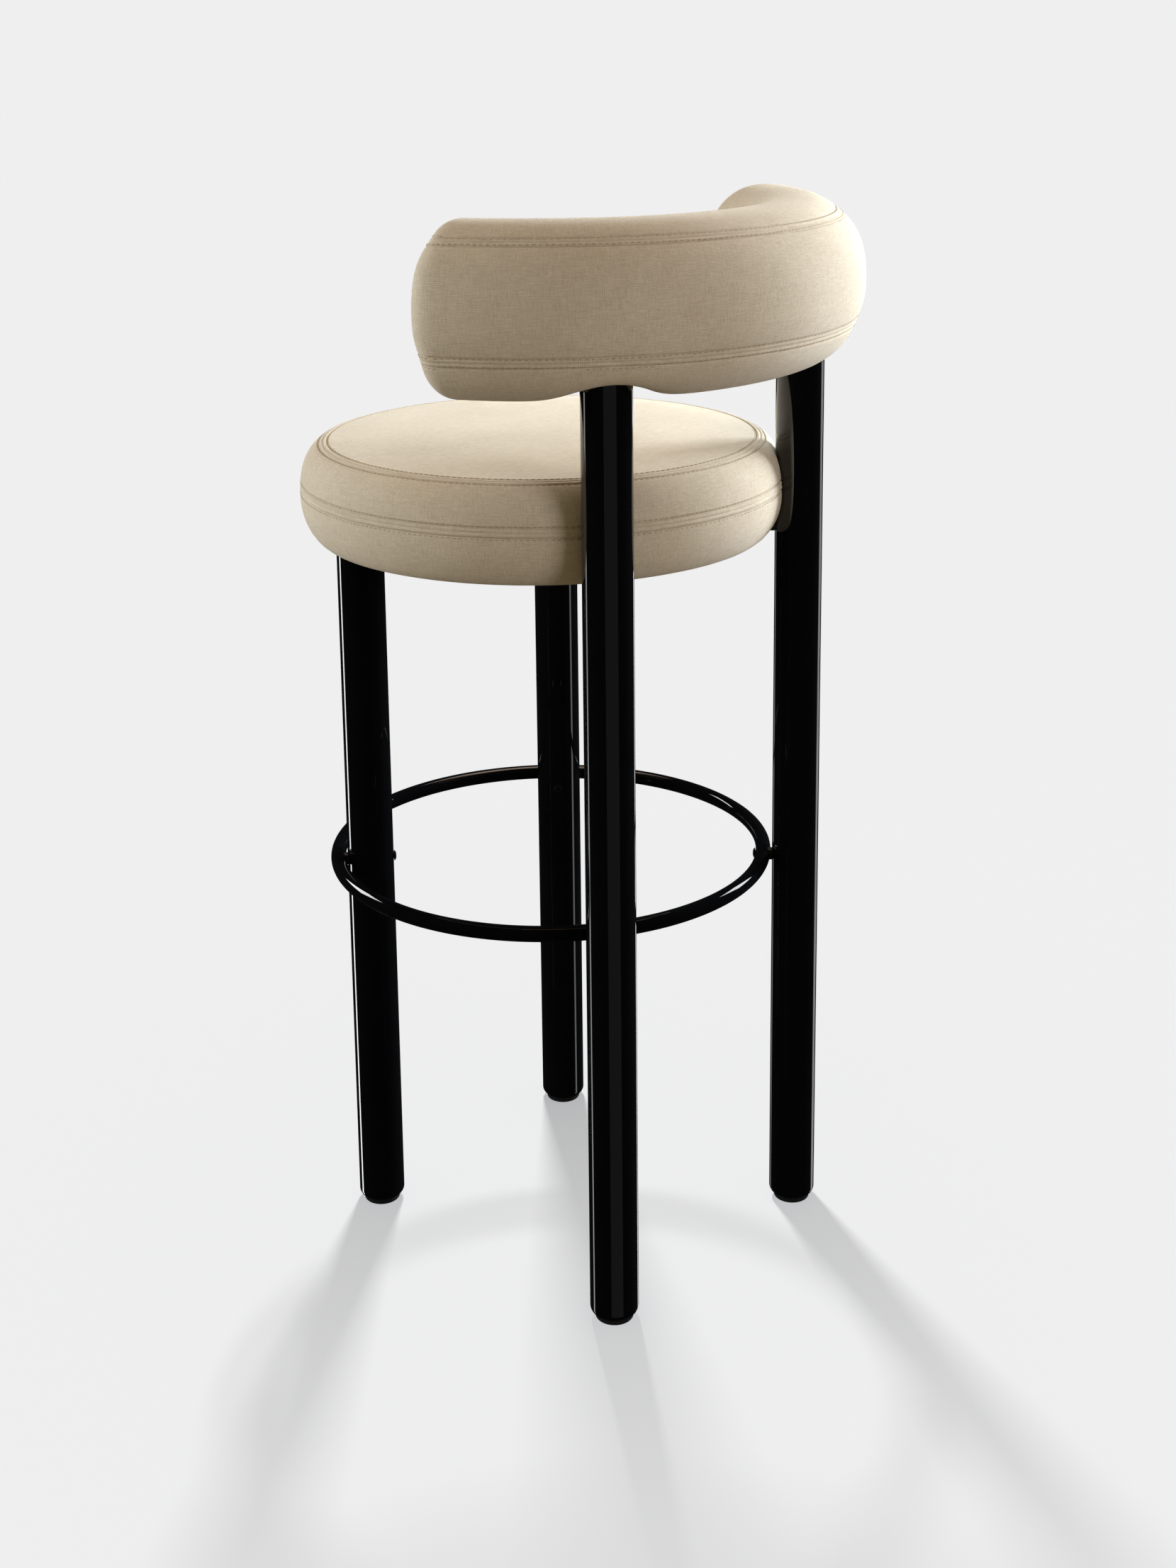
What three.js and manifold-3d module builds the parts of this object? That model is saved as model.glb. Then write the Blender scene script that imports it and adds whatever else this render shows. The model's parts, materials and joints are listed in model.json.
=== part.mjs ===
// Bar stool with a ring footrest: four upright tube legs, a round upholstered seat and an
// upholstered C-shaped backrest carried by the two rear legs.
// Millimetres. +Z is up, the sitter faces -Y, and left and right are as seen from the front.
// The origin is on the floor, under the middle of the stool's outline.
import * as THREE from "three";
import { ParametricGeometry } from "three/addons/geometries/ParametricGeometry.js";
import { mergeVertices } from "three/addons/utils/BufferGeometryUtils.js";
import Module from "manifold-3d";

const wasm = await Module();
wasm.setup();

// ---- driving dimensions -------------------------------------------------------------------
const GAP = 0.3; // between pieces that touch
const MERGE = 1e-3;
const LAYER_SPAN = 1200; // wider than the stool

const LEG_RADIUS = 22.25;
const LEG_WALL = 1.5;
const LEG_X = 135.5; // each leg's distance from the stool's middle plane
const LEG_FOOT_ROUND = 7; // radius of the spun-in lower edge
const LEG_FOOT_TURN = 62; // degrees of that round that are kept, down to the glide
const LEG_FOOT_HEIGHT = 12; // where the straight tube starts
const REAR_LEG_TOP = 955;
const CAP_THICKNESS = 2;
const CUSHION_TO_LEG = 0.5;
const BACK_FOAM_TO_LEG = 2;

const GLIDE_RADIUS = 17.5;
const GLIDE_EDGE = 1.5;
const GLIDE_HEIGHT = 20;

const RING_RADIUS = 208; // to the middle of the rod
const RING_ROD_RADIUS = 7.25;
const RING_HEIGHT = 365;
const RING_TO_LEG = 1.5; // filled by the spacers

const SPACER_RADIUS = 6;
const RING_BOLT_RADIUS = 2.9;
const RING_BOLT_HOLE = 3.2;
const RING_BOLT_HEAD_RADIUS = 5;
const RING_BOLT_HEAD_HEIGHT = 2.2;
const RING_THREAD_DEPTH = 8;
const RING_THREAD_SPARE = 0.5; // how much deeper than the bolt its hole goes
const RING_BOLT_SOCKET = 1.7;
const HEAD_ROOM = 5; // a hole starts this far before its bolt's head
const INSERT_RADIUS = 4.6;
const INSERT_LENGTH = 9;

const SEAT_Y = -4;
const SEAT_RADIUS = 230;
const SEAT_TOP = 780.5;
const SEAT_EQUATOR = 736.5; // height of the widest line, where the lower seam runs
const SEAT_BOTTOM = 685.5;
const SEAT_ROUND = 23; // how far in from the widest line the flat faces start
const SEAT_TOP_POWER = 1.55;
const SEAT_BOTTOM_POWER = 1.85;
const SEAT_TOP_SEAM = 778;
const BOARD_RADIUS = 197;
const BOARD_THICKNESS = 15;
const BOTTOM_PANEL_INNER = 180; // where the seat's cover is stapled under the board

const COVER = 1.5; // fabric with its backing
const DUST_COVER = 1;

const PLATE_THICKNESS = 4;
const PLATE_RADIUS = 34;
const PLATE_INSET = 6; // from the leg's axis towards the seat's axis
const PLATE_SCREW_RADIUS = 32; // from the leg's axis
const PLATE_SCREW_ANGLES = { inner: 0, fore: 50, rear: -50 }; // degrees from the way inwards
const SCREW_RADIUS = 2.2;
const SCREW_HOLE = 2.6;
const SCREW_HEAD_RADIUS = 4.2;
const SCREW_HEAD_HEIGHT = 2.4;
const SCREW_LENGTH = 18;

const SEAT_SPACER_RADIUS = 6.5;
const SEAT_BOLT_RADIUS = 3.9;
const SEAT_BOLT_HOLE = 4.2;
const SEAT_BOLT_HEAD_RADIUS = 6.5;
const SEAT_BOLT_HEAD_HEIGHT = 4;
const SEAT_BOLT_DEPTH = 26; // into the edge of the board

const BACK_Y = 12; // centre of the backrest's arc
const BACK_RADIUS = 224.25; // to the middle of the cushion
const BACK_HALF_ANGLE = 72; // degrees, each way from the middle of the back
const BACK_STRAIGHT = 8.25; // straight run past each end of the arc
const BACK_HALF_THICKNESS = 63.75;
const BACK_HALF_HEIGHT = 74.9;
const BACK_HEIGHT = 927.7; // of the cushion's middle
const BACK_POWER = 2.27;
const BACK_END_LENGTH = 30;
const BACK_END_POWER = 2.4;
const BACK_TOP_SEAM = 61.5; // above the cushion's middle
const BACK_LOWER_SEAM = -37;

const BACK_BOARD_THICKNESS = 10;
const BACK_BOARD_HALF_HEIGHT = 55;
const BACK_BOARD_HALF_ANGLE = 64;
const BACK_BOLT_HEIGHTS = { lower: 905, upper: 940 };
const BACK_BOLT_RADIUS = 2.9;
const BACK_BOLT_HOLE = 3.3;
const BACK_BOLT_HEAD_RADIUS = 5.5;
const BACK_BOLT_HEAD_HEIGHT = 3;
const BACK_BOLT_LENGTH = 22;

const ROUND_SIDES = 28; // around a leg
const SMALL_SIDES = 8; // around a screw
const MEDIUM_SIDES = 20; // around a glide, a cap or a plate
const SPACER_SIDES = 14;
const SEAT_SIDES = 32;
const RING_STEPS = 52;
const ROD_SIDES = 12;
const BACK_SECTION_SIDES = 16;
const BACK_ROWS = 24;
const BACK_END_ROWS = 4;
const BACK_DISC_SIDES = 48;

// ---- worked out from the driving dimensions -----------------------------------------------
// The front legs stand just inside the ring, and the rear legs just outside it.
const ringToLegAxis = RING_ROD_RADIUS + RING_TO_LEG + LEG_RADIUS;
const frontLegY = -Math.sqrt((RING_RADIUS - ringToLegAxis) ** 2 - LEG_X ** 2);
const rearLegY = Math.sqrt((RING_RADIUS + ringToLegAxis) ** 2 - LEG_X ** 2);
const boardBottom = SEAT_BOTTOM + COVER + GAP;
const boardTop = boardBottom + BOARD_THICKNESS;
const plateTop = SEAT_BOTTOM - GAP;
const plateBottom = plateTop - PLATE_THICKNESS;
const frontLegTop = plateBottom - GAP;
const legToArc = Math.hypot(LEG_X, rearLegY - BACK_Y);
const legToSeat = Math.hypot(LEG_X, rearLegY - SEAT_Y);
const seatBoltHeight = (boardBottom + boardTop) / 2;
const backBoardOuter = legToArc - LEG_RADIUS - GAP;
const backBoardInner = backBoardOuter - BACK_BOARD_THICKNESS;
const SIDES = [
  { name: "right", x: 1 },
  { name: "left", x: -1 },
];

// ---- materials ----------------------------------------------------------------------------
function material(color, roughness, metalness) {
  return new THREE.MeshStandardMaterial({ color, roughness, metalness });
}

const lacquer = () => material(0x070708, 0.08, 0.2);
const blackPlastic = () => material(0x101011, 0.5, 0);
const blackScrew = () => material(0x0c0c0d, 0.3, 0.6);
const zincSteel = () => material(0xb4b6b8, 0.35, 0.9);
const linen = () => material(0xcdbfa6, 0.9, 0);
const foam = () => material(0xe9e2c4, 0.95, 0);
const plywood = () => material(0xc9a676, 0.7, 0);
const dustCloth = () => material(0x1a1a1b, 0.95, 0);

// ---- solids -------------------------------------------------------------------------------
function toSolid(geometry) {
  const bare = geometry.index ? geometry.toNonIndexed() : geometry.clone();
  bare.deleteAttribute("normal");
  bare.deleteAttribute("uv");
  const merged = mergeVertices(bare, MERGE);
  return new wasm.Manifold(
    new wasm.Mesh({
      numProp: 3,
      vertProperties: merged.attributes.position.array,
      triVerts: new Uint32Array(merged.index.array),
    }),
  );
}

function toGeometry(solid) {
  const { vertProperties, triVerts } = solid.getMesh();
  const geometry = new THREE.BufferGeometry();
  geometry.setAttribute("position", new THREE.BufferAttribute(vertProperties, 3));
  geometry.setIndex(new THREE.BufferAttribute(triVerts, 1));
  geometry.computeVertexNormals();
  return geometry;
}

const cut = (geometry, ...tools) =>
  toGeometry(tools.reduce((solid, tool) => solid.subtract(toSolid(tool)), toSolid(geometry)));

const common = (geometry, tool) => toGeometry(toSolid(geometry).intersect(toSolid(tool)));

// A profile of [radius, height] pairs turned round +Z. It starts and ends on the axis, or it
// closes on itself, and it may be listed in either direction.
function revolve(profile, sides = ROUND_SIDES) {
  const area = profile.reduce((sum, [r, z], i) => {
    const [nextR, nextZ] = profile[(i + 1) % profile.length];
    return sum + r * nextZ - nextR * z;
  }, 0);
  const points = (area > 0 ? profile : profile.toReversed()).map(([r, z]) => new THREE.Vector2(r, z));
  return new THREE.LatheGeometry(points, sides).rotateX(Math.PI / 2);
}

const closed = (profile) => [...profile, profile[0]];

function disc(radius, low, high, sides = ROUND_SIDES) {
  return revolve([[0, low], [radius, low], [radius, high], [0, high]], sides);
}

// A cylinder on the +X axis, turned to a compass direction in the XY plane and moved to a point.
function radialRod(radius, from, to, direction, centreX, centreY, height, sides = SMALL_SIDES) {
  return disc(radius, from, to, sides)
    .rotateY(Math.PI / 2)
    .rotateZ(direction)
    .translate(centreX, centreY, height);
}

function layer(low, high) {
  return new THREE.BoxGeometry(LAYER_SPAN, LAYER_SPAN, high - low).translate(0, 0, (low + high) / 2);
}

// ---- the stool ----------------------------------------------------------------------------
const stool = new THREE.Group();

function add(name, geometry, surface, x = 0, y = 0, z = 0) {
  const piece = new THREE.Mesh(geometry, surface);
  piece.name = name;
  piece.position.set(x, y, z);
  stool.add(piece);
}

// The angle from the ring's middle to a leg, in the XY plane.
const legDirection = (x, y) => Math.atan2(y, x);

// ---- legs and glides ----------------------------------------------------------------------
// One wall face of a leg's foot: the round lower edge, from the straight tube down to its lip.
function footRound(inset, steps = 2) {
  const round = LEG_FOOT_ROUND - inset;
  const turn = THREE.MathUtils.degToRad(LEG_FOOT_TURN);
  return Array.from({ length: steps + 1 }, (_, i) => {
    const angle = (turn * i) / steps;
    return [
      LEG_RADIUS - LEG_FOOT_ROUND + round * Math.cos(angle),
      LEG_FOOT_HEIGHT - round * Math.sin(angle),
    ];
  });
}

function legTube(top) {
  const outside = [[LEG_RADIUS, top], ...footRound(0)];
  const inside = [[LEG_RADIUS - LEG_WALL, top], ...footRound(LEG_WALL)];
  return revolve(closed([...outside, ...inside.toReversed()]));
}

function glide() {
  return revolve([
    [0, 0],
    [GLIDE_RADIUS - GLIDE_EDGE, 0],
    [GLIDE_RADIUS, GLIDE_EDGE],
    [GLIDE_RADIUS, GLIDE_HEIGHT],
    [0, GLIDE_HEIGHT],
  ], MEDIUM_SIDES);
}

// ---- footrest -----------------------------------------------------------------------------
const ring = new THREE.TorusGeometry(RING_RADIUS, RING_ROD_RADIUS, ROD_SIDES, RING_STEPS)
  .translate(0, 0, RING_HEIGHT);

// The spacer fills the narrow space between the ring and a leg, round the bolt.
function spacer(x, y, direction, legAxis) {
  const blank = radialRod(SPACER_RADIUS, Math.min(RING_RADIUS, legAxis), Math.max(RING_RADIUS, legAxis),
    direction, 0, 0, RING_HEIGHT, SPACER_SIDES);
  const fullLeg = disc(LEG_RADIUS + GAP, 0, REAR_LEG_TOP).translate(x, y, 0);
  const fullRod = new THREE.TorusGeometry(RING_RADIUS, RING_ROD_RADIUS + GAP, ROD_SIDES, RING_STEPS)
    .translate(0, 0, RING_HEIGHT);
  const hole = radialRod(RING_BOLT_HOLE, RING_RADIUS / 2, 2 * RING_RADIUS, direction, 0, 0, RING_HEIGHT);
  return cut(blank, fullLeg, fullRod, hole);
}

// A low button-head bolt along +Z with its head's flat side at 0, and a hexagon socket in it.
function buttonBolt(length) {
  const r = RING_BOLT_HEAD_RADIUS;
  const h = RING_BOLT_HEAD_HEIGHT;
  const body = revolve([
    [0, -h],
    [r * 0.45, -h],
    [r * 0.8, -h * 0.72],
    [r, -h * 0.2],
    [r, 0],
    [RING_BOLT_RADIUS, 0],
    [RING_BOLT_RADIUS, length],
    [0, length],
  ], SPACER_SIDES);
  const socket = new THREE.CylinderGeometry(RING_BOLT_SOCKET, RING_BOLT_SOCKET, h, 6).rotateX(Math.PI / 2).translate(0, 0, -h);
  return cut(body, socket);
}

for (const side of SIDES) {
  const x = side.x * LEG_X;

  // The front leg is inside the ring: its bolt goes outwards through the leg into the ring.
  const frontDirection = legDirection(x, frontLegY);
  const frontAxis = Math.hypot(LEG_X, frontLegY);
  const frontHead = frontAxis - LEG_RADIUS - GAP;
  const ringThreadEnd = RING_RADIUS + RING_THREAD_DEPTH - HEAD_ROOM;
  const frontHole = radialRod(RING_BOLT_HOLE, frontHead - HEAD_ROOM, ringThreadEnd,
    frontDirection, 0, 0, RING_HEIGHT);
  add(`front_leg_${side.name}`, cut(legTube(frontLegTop).translate(x, frontLegY, 0), frontHole), lacquer());
  add(`front_ring_spacer_${side.name}`, spacer(x, frontLegY, frontDirection, frontAxis), blackPlastic());
  const frontBolt = buttonBolt(ringThreadEnd - 2 * RING_THREAD_SPARE - frontHead)
    .rotateY(Math.PI / 2).translate(frontHead, 0, 0).rotateZ(frontDirection).translate(0, 0, RING_HEIGHT);
  add(`front_ring_bolt_${side.name}`, frontBolt, blackScrew());

  // The rear leg is outside the ring: its bolt goes outwards through the ring into the leg.
  const rearDirection = legDirection(x, rearLegY);
  const rearAxis = Math.hypot(LEG_X, rearLegY);
  const rearHead = RING_RADIUS - RING_ROD_RADIUS - GAP;
  const rearEnd = rearAxis - LEG_RADIUS + LEG_WALL + GAP + INSERT_LENGTH;
  const rearHole = radialRod(RING_BOLT_HOLE, rearHead - HEAD_ROOM, rearAxis, rearDirection, 0, 0, RING_HEIGHT);
  const backHoles = Object.values(BACK_BOLT_HEIGHTS).map((height) =>
    radialRod(BACK_BOLT_HOLE, backBoardInner - HEAD_ROOM, legToArc,
      legDirection(x, rearLegY - BACK_Y), 0, BACK_Y, height));
  const seatHole = radialRod(SEAT_BOLT_HOLE, BOARD_RADIUS, legToSeat,
    legDirection(x, rearLegY - SEAT_Y), 0, SEAT_Y, seatBoltHeight);
  const rearTube = legTube(REAR_LEG_TOP).translate(x, rearLegY, 0);
  add(`rear_leg_${side.name}`, cut(rearTube, rearHole, seatHole, ...backHoles), lacquer());
  add(`rear_ring_spacer_${side.name}`, spacer(x, rearLegY, rearDirection, rearAxis), blackPlastic());
  const rearBolt = buttonBolt(rearEnd - rearHead)
    .rotateY(Math.PI / 2).translate(rearHead, 0, 0).rotateZ(rearDirection).translate(0, 0, RING_HEIGHT);
  add(`rear_ring_bolt_${side.name}`, rearBolt, blackScrew());
  const insert = revolve(closed([
    [RING_BOLT_HOLE, rearEnd - INSERT_LENGTH],
    [INSERT_RADIUS, rearEnd - INSERT_LENGTH],
    [INSERT_RADIUS, rearEnd],
    [RING_BOLT_HOLE, rearEnd],
  ]), SMALL_SIDES).rotateY(Math.PI / 2).rotateZ(rearDirection).translate(0, 0, RING_HEIGHT);
  const legBore = disc(LEG_RADIUS - LEG_WALL - GAP, 0, REAR_LEG_TOP).translate(x, rearLegY, 0);
  add(`rear_leg_thread_insert_${side.name}`, common(insert, legBore), zincSteel());

  const capDisc = disc(LEG_RADIUS, REAR_LEG_TOP + GAP, REAR_LEG_TOP + CAP_THICKNESS, MEDIUM_SIDES);
  add(`rear_leg_cap_${side.name}`, capDisc, blackPlastic(), x, rearLegY);
  add(`front_glide_${side.name}`, glide(), blackPlastic(), x, frontLegY);
  add(`rear_glide_${side.name}`, glide(), blackPlastic(), x, rearLegY);
}

const ringHoles = SIDES.flatMap((side) => {
  const x = side.x * LEG_X;
  const inner = RING_RADIUS - 2 * RING_ROD_RADIUS;
  const outer = RING_RADIUS + 2 * RING_ROD_RADIUS;
  const threadEnd = RING_RADIUS + RING_THREAD_DEPTH - HEAD_ROOM - RING_THREAD_SPARE;
  return [
    radialRod(RING_BOLT_HOLE, inner, threadEnd, legDirection(x, frontLegY), 0, 0, RING_HEIGHT),
    radialRod(RING_BOLT_HOLE, inner, outer, legDirection(x, rearLegY), 0, 0, RING_HEIGHT),
  ];
});
add("footrest_ring", cut(ring, ...ringHoles), lacquer());

// ---- seat ---------------------------------------------------------------------------------
// The cushion's right-hand outline, from the middle of its top to the middle of its bottom.
function seatProfile(inset, steps = 4) {
  const round = SEAT_ROUND;
  const flat = SEAT_RADIUS - inset - round;
  const quarter = (low, high, power) => Array.from({ length: steps + 1 }, (_, i) => {
    const angle = low + ((high - low) * i) / steps;
    const across = Math.max(Math.cos(angle), 0) ** (2 / power);
    const along = Math.sign(Math.sin(angle)) * Math.abs(Math.sin(angle)) ** (2 / power);
    const reach = angle > 0 ? SEAT_TOP - SEAT_EQUATOR : SEAT_EQUATOR - SEAT_BOTTOM;
    return [flat + round * across, SEAT_EQUATOR + (reach - inset) * along];
  });
  const upper = quarter(Math.PI / 2, 0, SEAT_TOP_POWER);
  const lower = quarter(0, -Math.PI / 2, SEAT_BOTTOM_POWER).slice(1);
  return [[0, SEAT_TOP - inset], ...upper, ...lower, [0, SEAT_BOTTOM + inset]];
}

// A rear leg with its cap, grown by a clearance, as a cutting tool.
const legTool = (side, clearance) =>
  disc(LEG_RADIUS + clearance, 0, REAR_LEG_TOP + CAP_THICKNESS + clearance)
    .translate(side.x * LEG_X, rearLegY, 0);

const seatSolid = (inset, clearance) =>
  cut(revolve(seatProfile(inset), SEAT_SIDES).translate(0, SEAT_Y, 0),
    ...SIDES.map((side) => legTool(side, clearance)));

const underOpening = disc(BOTTOM_PANEL_INNER, SEAT_BOTTOM - COVER, SEAT_BOTTOM + 2 * COVER, SEAT_SIDES)
  .translate(0, SEAT_Y, 0);

// A horizontal rod from the board's edge out to a rear leg's axis, as a spacer or a cutting tool.
const seatRod = (radius, from, side, sides = SMALL_SIDES) =>
  radialRod(radius, from, legToSeat, legDirection(side.x * LEG_X, rearLegY - SEAT_Y),
    0, SEAT_Y, seatBoltHeight, sides);
const spacerHoles = SIDES.map((side) =>
  seatRod(SEAT_SPACER_RADIUS + GAP, BOARD_RADIUS - SEAT_SPACER_RADIUS, side, SPACER_SIDES));

const seatCover = cut(seatSolid(0, CUSHION_TO_LEG), seatSolid(COVER, CUSHION_TO_LEG + COVER),
  underOpening, ...spacerHoles);
add("seat_cover_top", common(seatCover, layer(SEAT_TOP_SEAM + GAP / 2, SEAT_TOP + COVER)), linen());
add("seat_cover_band",
  common(seatCover, layer(SEAT_EQUATOR + GAP / 2, SEAT_TOP_SEAM - GAP / 2)), linen());
add("seat_cover_bottom",
  common(seatCover, layer(SEAT_BOTTOM - COVER, SEAT_EQUATOR - GAP / 2)), linen());

const boardPocket = disc(BOARD_RADIUS + GAP, 0, boardTop + GAP, SEAT_SIDES).translate(0, SEAT_Y, 0);
const seatFoam = seatSolid(COVER + GAP, CUSHION_TO_LEG + COVER + GAP);
add("seat_foam", cut(seatFoam, boardPocket, ...spacerHoles), foam());

// ---- seat fixings -------------------------------------------------------------------------
// The way from a front leg's axis to the seat's axis.
const inwardsFrom = (x) => legDirection(-x, SEAT_Y - frontLegY);

// Each front plate's screws: where they are, and their names.
const seatScrews = SIDES.flatMap((side) => {
  const x = side.x * LEG_X;
  return Object.entries(PLATE_SCREW_ANGLES).map(([place, turn]) => {
    const angle = inwardsFrom(x) + THREE.MathUtils.degToRad(turn) * side.x;
    return {
      name: `plate_screw_${place}_${side.name}`,
      x: x + PLATE_SCREW_RADIUS * Math.cos(angle),
      y: frontLegY + PLATE_SCREW_RADIUS * Math.sin(angle),
    };
  });
});

const screwHole = (screw, high) => disc(SCREW_HOLE, 0, high, SMALL_SIDES).translate(screw.x, screw.y, 0);
const screwHoles = (high) => seatScrews.map((screw) => screwHole(screw, high));
const screwTip = plateBottom + SCREW_LENGTH;

for (const screw of seatScrews) {
  const shape = revolve([
    [0, plateBottom - GAP - SCREW_HEAD_HEIGHT],
    [SCREW_HEAD_RADIUS * 0.6, plateBottom - GAP - SCREW_HEAD_HEIGHT],
    [SCREW_HEAD_RADIUS, plateBottom - GAP - SCREW_HEAD_HEIGHT * 0.3],
    [SCREW_HEAD_RADIUS, plateBottom - GAP],
    [SCREW_RADIUS, plateBottom - GAP],
    [SCREW_RADIUS, screwTip - 3],
    [0, screwTip],
  ], SMALL_SIDES);
  add(screw.name, shape, zincSteel(), screw.x, screw.y);
}

const board = disc(BOARD_RADIUS, boardBottom, boardTop, SEAT_SIDES).translate(0, SEAT_Y, 0);
const boltHolesInBoard = SIDES.map((side) => seatRod(SEAT_BOLT_HOLE, BOARD_RADIUS - SEAT_BOLT_DEPTH - GAP, side));
add("seat_board", cut(board, ...screwHoles(screwTip + 1), ...boltHolesInBoard), plywood());

for (const side of SIDES) {
  const x = side.x * LEG_X;
  const plateX = x + PLATE_INSET * Math.cos(inwardsFrom(x));
  const plateY = frontLegY + PLATE_INSET * Math.sin(inwardsFrom(x));
  const plate = disc(PLATE_RADIUS, plateBottom, plateTop, MEDIUM_SIDES).translate(plateX, plateY, 0);
  add(`front_leg_plate_${side.name}`, cut(plate, ...screwHoles(plateTop + 1)), lacquer());

  // A rear leg is bolted to the board's edge from inside its tube, through a spacer in the cushion.
  const boardPocketAtEdge = disc(BOARD_RADIUS + GAP, boardBottom - GAP, boardTop + GAP, SEAT_SIDES)
    .translate(0, SEAT_Y, 0);
  const spacerBlank = seatRod(SEAT_SPACER_RADIUS, BOARD_RADIUS - SEAT_SPACER_RADIUS, side, SPACER_SIDES);
  const spacerShape = cut(spacerBlank, boardPocketAtEdge, legTool(side, GAP),
    seatRod(SEAT_BOLT_HOLE, BOARD_RADIUS / 2, side));
  add(`rear_seat_spacer_${side.name}`, spacerShape, zincSteel());
  const head = legToSeat - Math.sqrt((LEG_RADIUS - LEG_WALL) ** 2 - SEAT_BOLT_HEAD_RADIUS ** 2) + GAP;
  const boltShape = revolve([
    [0, BOARD_RADIUS - SEAT_BOLT_DEPTH],
    [SEAT_BOLT_RADIUS, BOARD_RADIUS - SEAT_BOLT_DEPTH],
    [SEAT_BOLT_RADIUS, head],
    [SEAT_BOLT_HEAD_RADIUS, head],
    [SEAT_BOLT_HEAD_RADIUS, head + SEAT_BOLT_HEAD_HEIGHT],
    [0, head + SEAT_BOLT_HEAD_HEIGHT],
  ], SMALL_SIDES)
    .rotateY(Math.PI / 2)
    .rotateZ(legDirection(x, rearLegY - SEAT_Y))
    .translate(0, SEAT_Y, seatBoltHeight);
  add(`rear_seat_bolt_${side.name}`, boltShape, zincSteel());
}

const dustDisc = disc(BOTTOM_PANEL_INNER - GAP, SEAT_BOTTOM, SEAT_BOTTOM + DUST_COVER, SEAT_SIDES)
  .translate(0, SEAT_Y, 0);
add("seat_dust_cover", cut(dustDisc, ...screwHoles(boardBottom)), dustCloth());

// ---- backrest -----------------------------------------------------------------------------
const power = (value, exponent) => Math.sign(value) * Math.abs(value) ** exponent;

// Where a row of the cushion is: its distance along from the middle, and how full it is there.
function backRow(row, inset) {
  const half = BACK_RADIUS * THREE.MathUtils.degToRad(BACK_HALF_ANGLE) + BACK_STRAIGHT - inset;
  const endLength = BACK_END_LENGTH - inset;
  const fromEnd = Math.min(row, BACK_ROWS - row);
  const side = row < BACK_ROWS / 2 ? -1 : 1;
  if (fromEnd >= BACK_END_ROWS) {
    const middle = (row - BACK_ROWS / 2) / (BACK_ROWS / 2 - BACK_END_ROWS);
    return { along: middle * (half - endLength), fullness: 1 };
  }
  const depth = Math.cos((fromEnd / BACK_END_ROWS) * (Math.PI / 2));
  return {
    along: side * (half - endLength * (1 - depth)),
    fullness: fromEnd === 0 ? 0 : (1 - depth ** BACK_END_POWER) ** (1 / BACK_END_POWER),
  };
}

// The cushion: a rounded section swept along an arc with short straight ends, closed in a round.
function backSolid(inset) {
  const arcLength = BACK_RADIUS * THREE.MathUtils.degToRad(BACK_HALF_ANGLE);
  return new ParametricGeometry((u, v, target) => {
    const { along, fullness } = backRow(Math.round(v * BACK_ROWS), inset);
    const angle = THREE.MathUtils.clamp(along, -arcLength, arcLength) / BACK_RADIUS;
    const past = Math.max(Math.abs(along) - arcLength, 0) * Math.sign(along);
    const turn = (u % 1) * Math.PI * 2;
    const out = (BACK_HALF_THICKNESS - inset) * power(Math.cos(turn), 2 / BACK_POWER) * fullness;
    const up = (BACK_HALF_HEIGHT - inset) * power(Math.sin(turn), 2 / BACK_POWER) * fullness;
    const reach = BACK_RADIUS + out;
    target.set(
      reach * Math.sin(angle) + past * Math.cos(angle),
      BACK_Y + reach * Math.cos(angle) - past * Math.sin(angle),
      BACK_HEIGHT + up,
    );
  }, BACK_SECTION_SIDES, BACK_ROWS);
}

const backDisc = (radius, low, high) => disc(radius, low, high, BACK_DISC_SIDES).translate(0, BACK_Y, 0);

// The outer band of the cover lies between the two seams, outside the cushion's middle line.
function bandZone(grow) {
  const slab = layer(BACK_HEIGHT + BACK_LOWER_SEAM - grow, BACK_HEIGHT + BACK_TOP_SEAM + grow);
  return cut(slab, backDisc(BACK_RADIUS - grow, 0, 2 * BACK_HEIGHT));
}

const backLegs = SIDES.map((side) => legTool(side, CUSHION_TO_LEG));
const backCover = cut(backSolid(0), backSolid(COVER), ...backLegs);
add("backrest_cover_band", common(backCover, bandZone(-GAP / 2)), linen());
add("backrest_cover_wrap", cut(backCover, bandZone(GAP / 2)), linen());

// The bent board, or the pocket for it when grown.
function backBoard(grow) {
  const half = THREE.MathUtils.degToRad(BACK_BOARD_HALF_ANGLE) + grow / backBoardInner;
  const middle = Math.PI / 2;
  const plan = new THREE.Shape();
  plan.absarc(0, 0, backBoardOuter + grow, middle - half, middle + half, false);
  plan.absarc(0, 0, backBoardInner - grow, middle + half, middle - half, true);
  plan.closePath();
  const height = 2 * (BACK_BOARD_HALF_HEIGHT + grow);
  return new THREE.ExtrudeGeometry(plan, { depth: height, bevelEnabled: false, curveSegments: 14 })
    .translate(0, BACK_Y, BACK_HEIGHT - height / 2);
}

const backBolts = SIDES.flatMap((side) =>
  Object.entries(BACK_BOLT_HEIGHTS).map(([place, height]) => ({
    name: `backrest_bolt_${place}_${side.name}`,
    direction: legDirection(side.x * LEG_X, rearLegY - BACK_Y),
    height,
  })));

const boltHoles = backBolts.map((bolt) =>
  radialRod(BACK_BOLT_HOLE, backBoardInner - HEAD_ROOM, legToArc, bolt.direction, 0, BACK_Y, bolt.height));
const headPockets = backBolts.map((bolt) =>
  radialRod(BACK_BOLT_HEAD_RADIUS + GAP, backBoardInner - BACK_BOLT_HEAD_HEIGHT - 2 * GAP, backBoardInner + 1,
    bolt.direction, 0, BACK_Y, bolt.height));
add("backrest_board", cut(backBoard(0), ...boltHoles), plywood());

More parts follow.
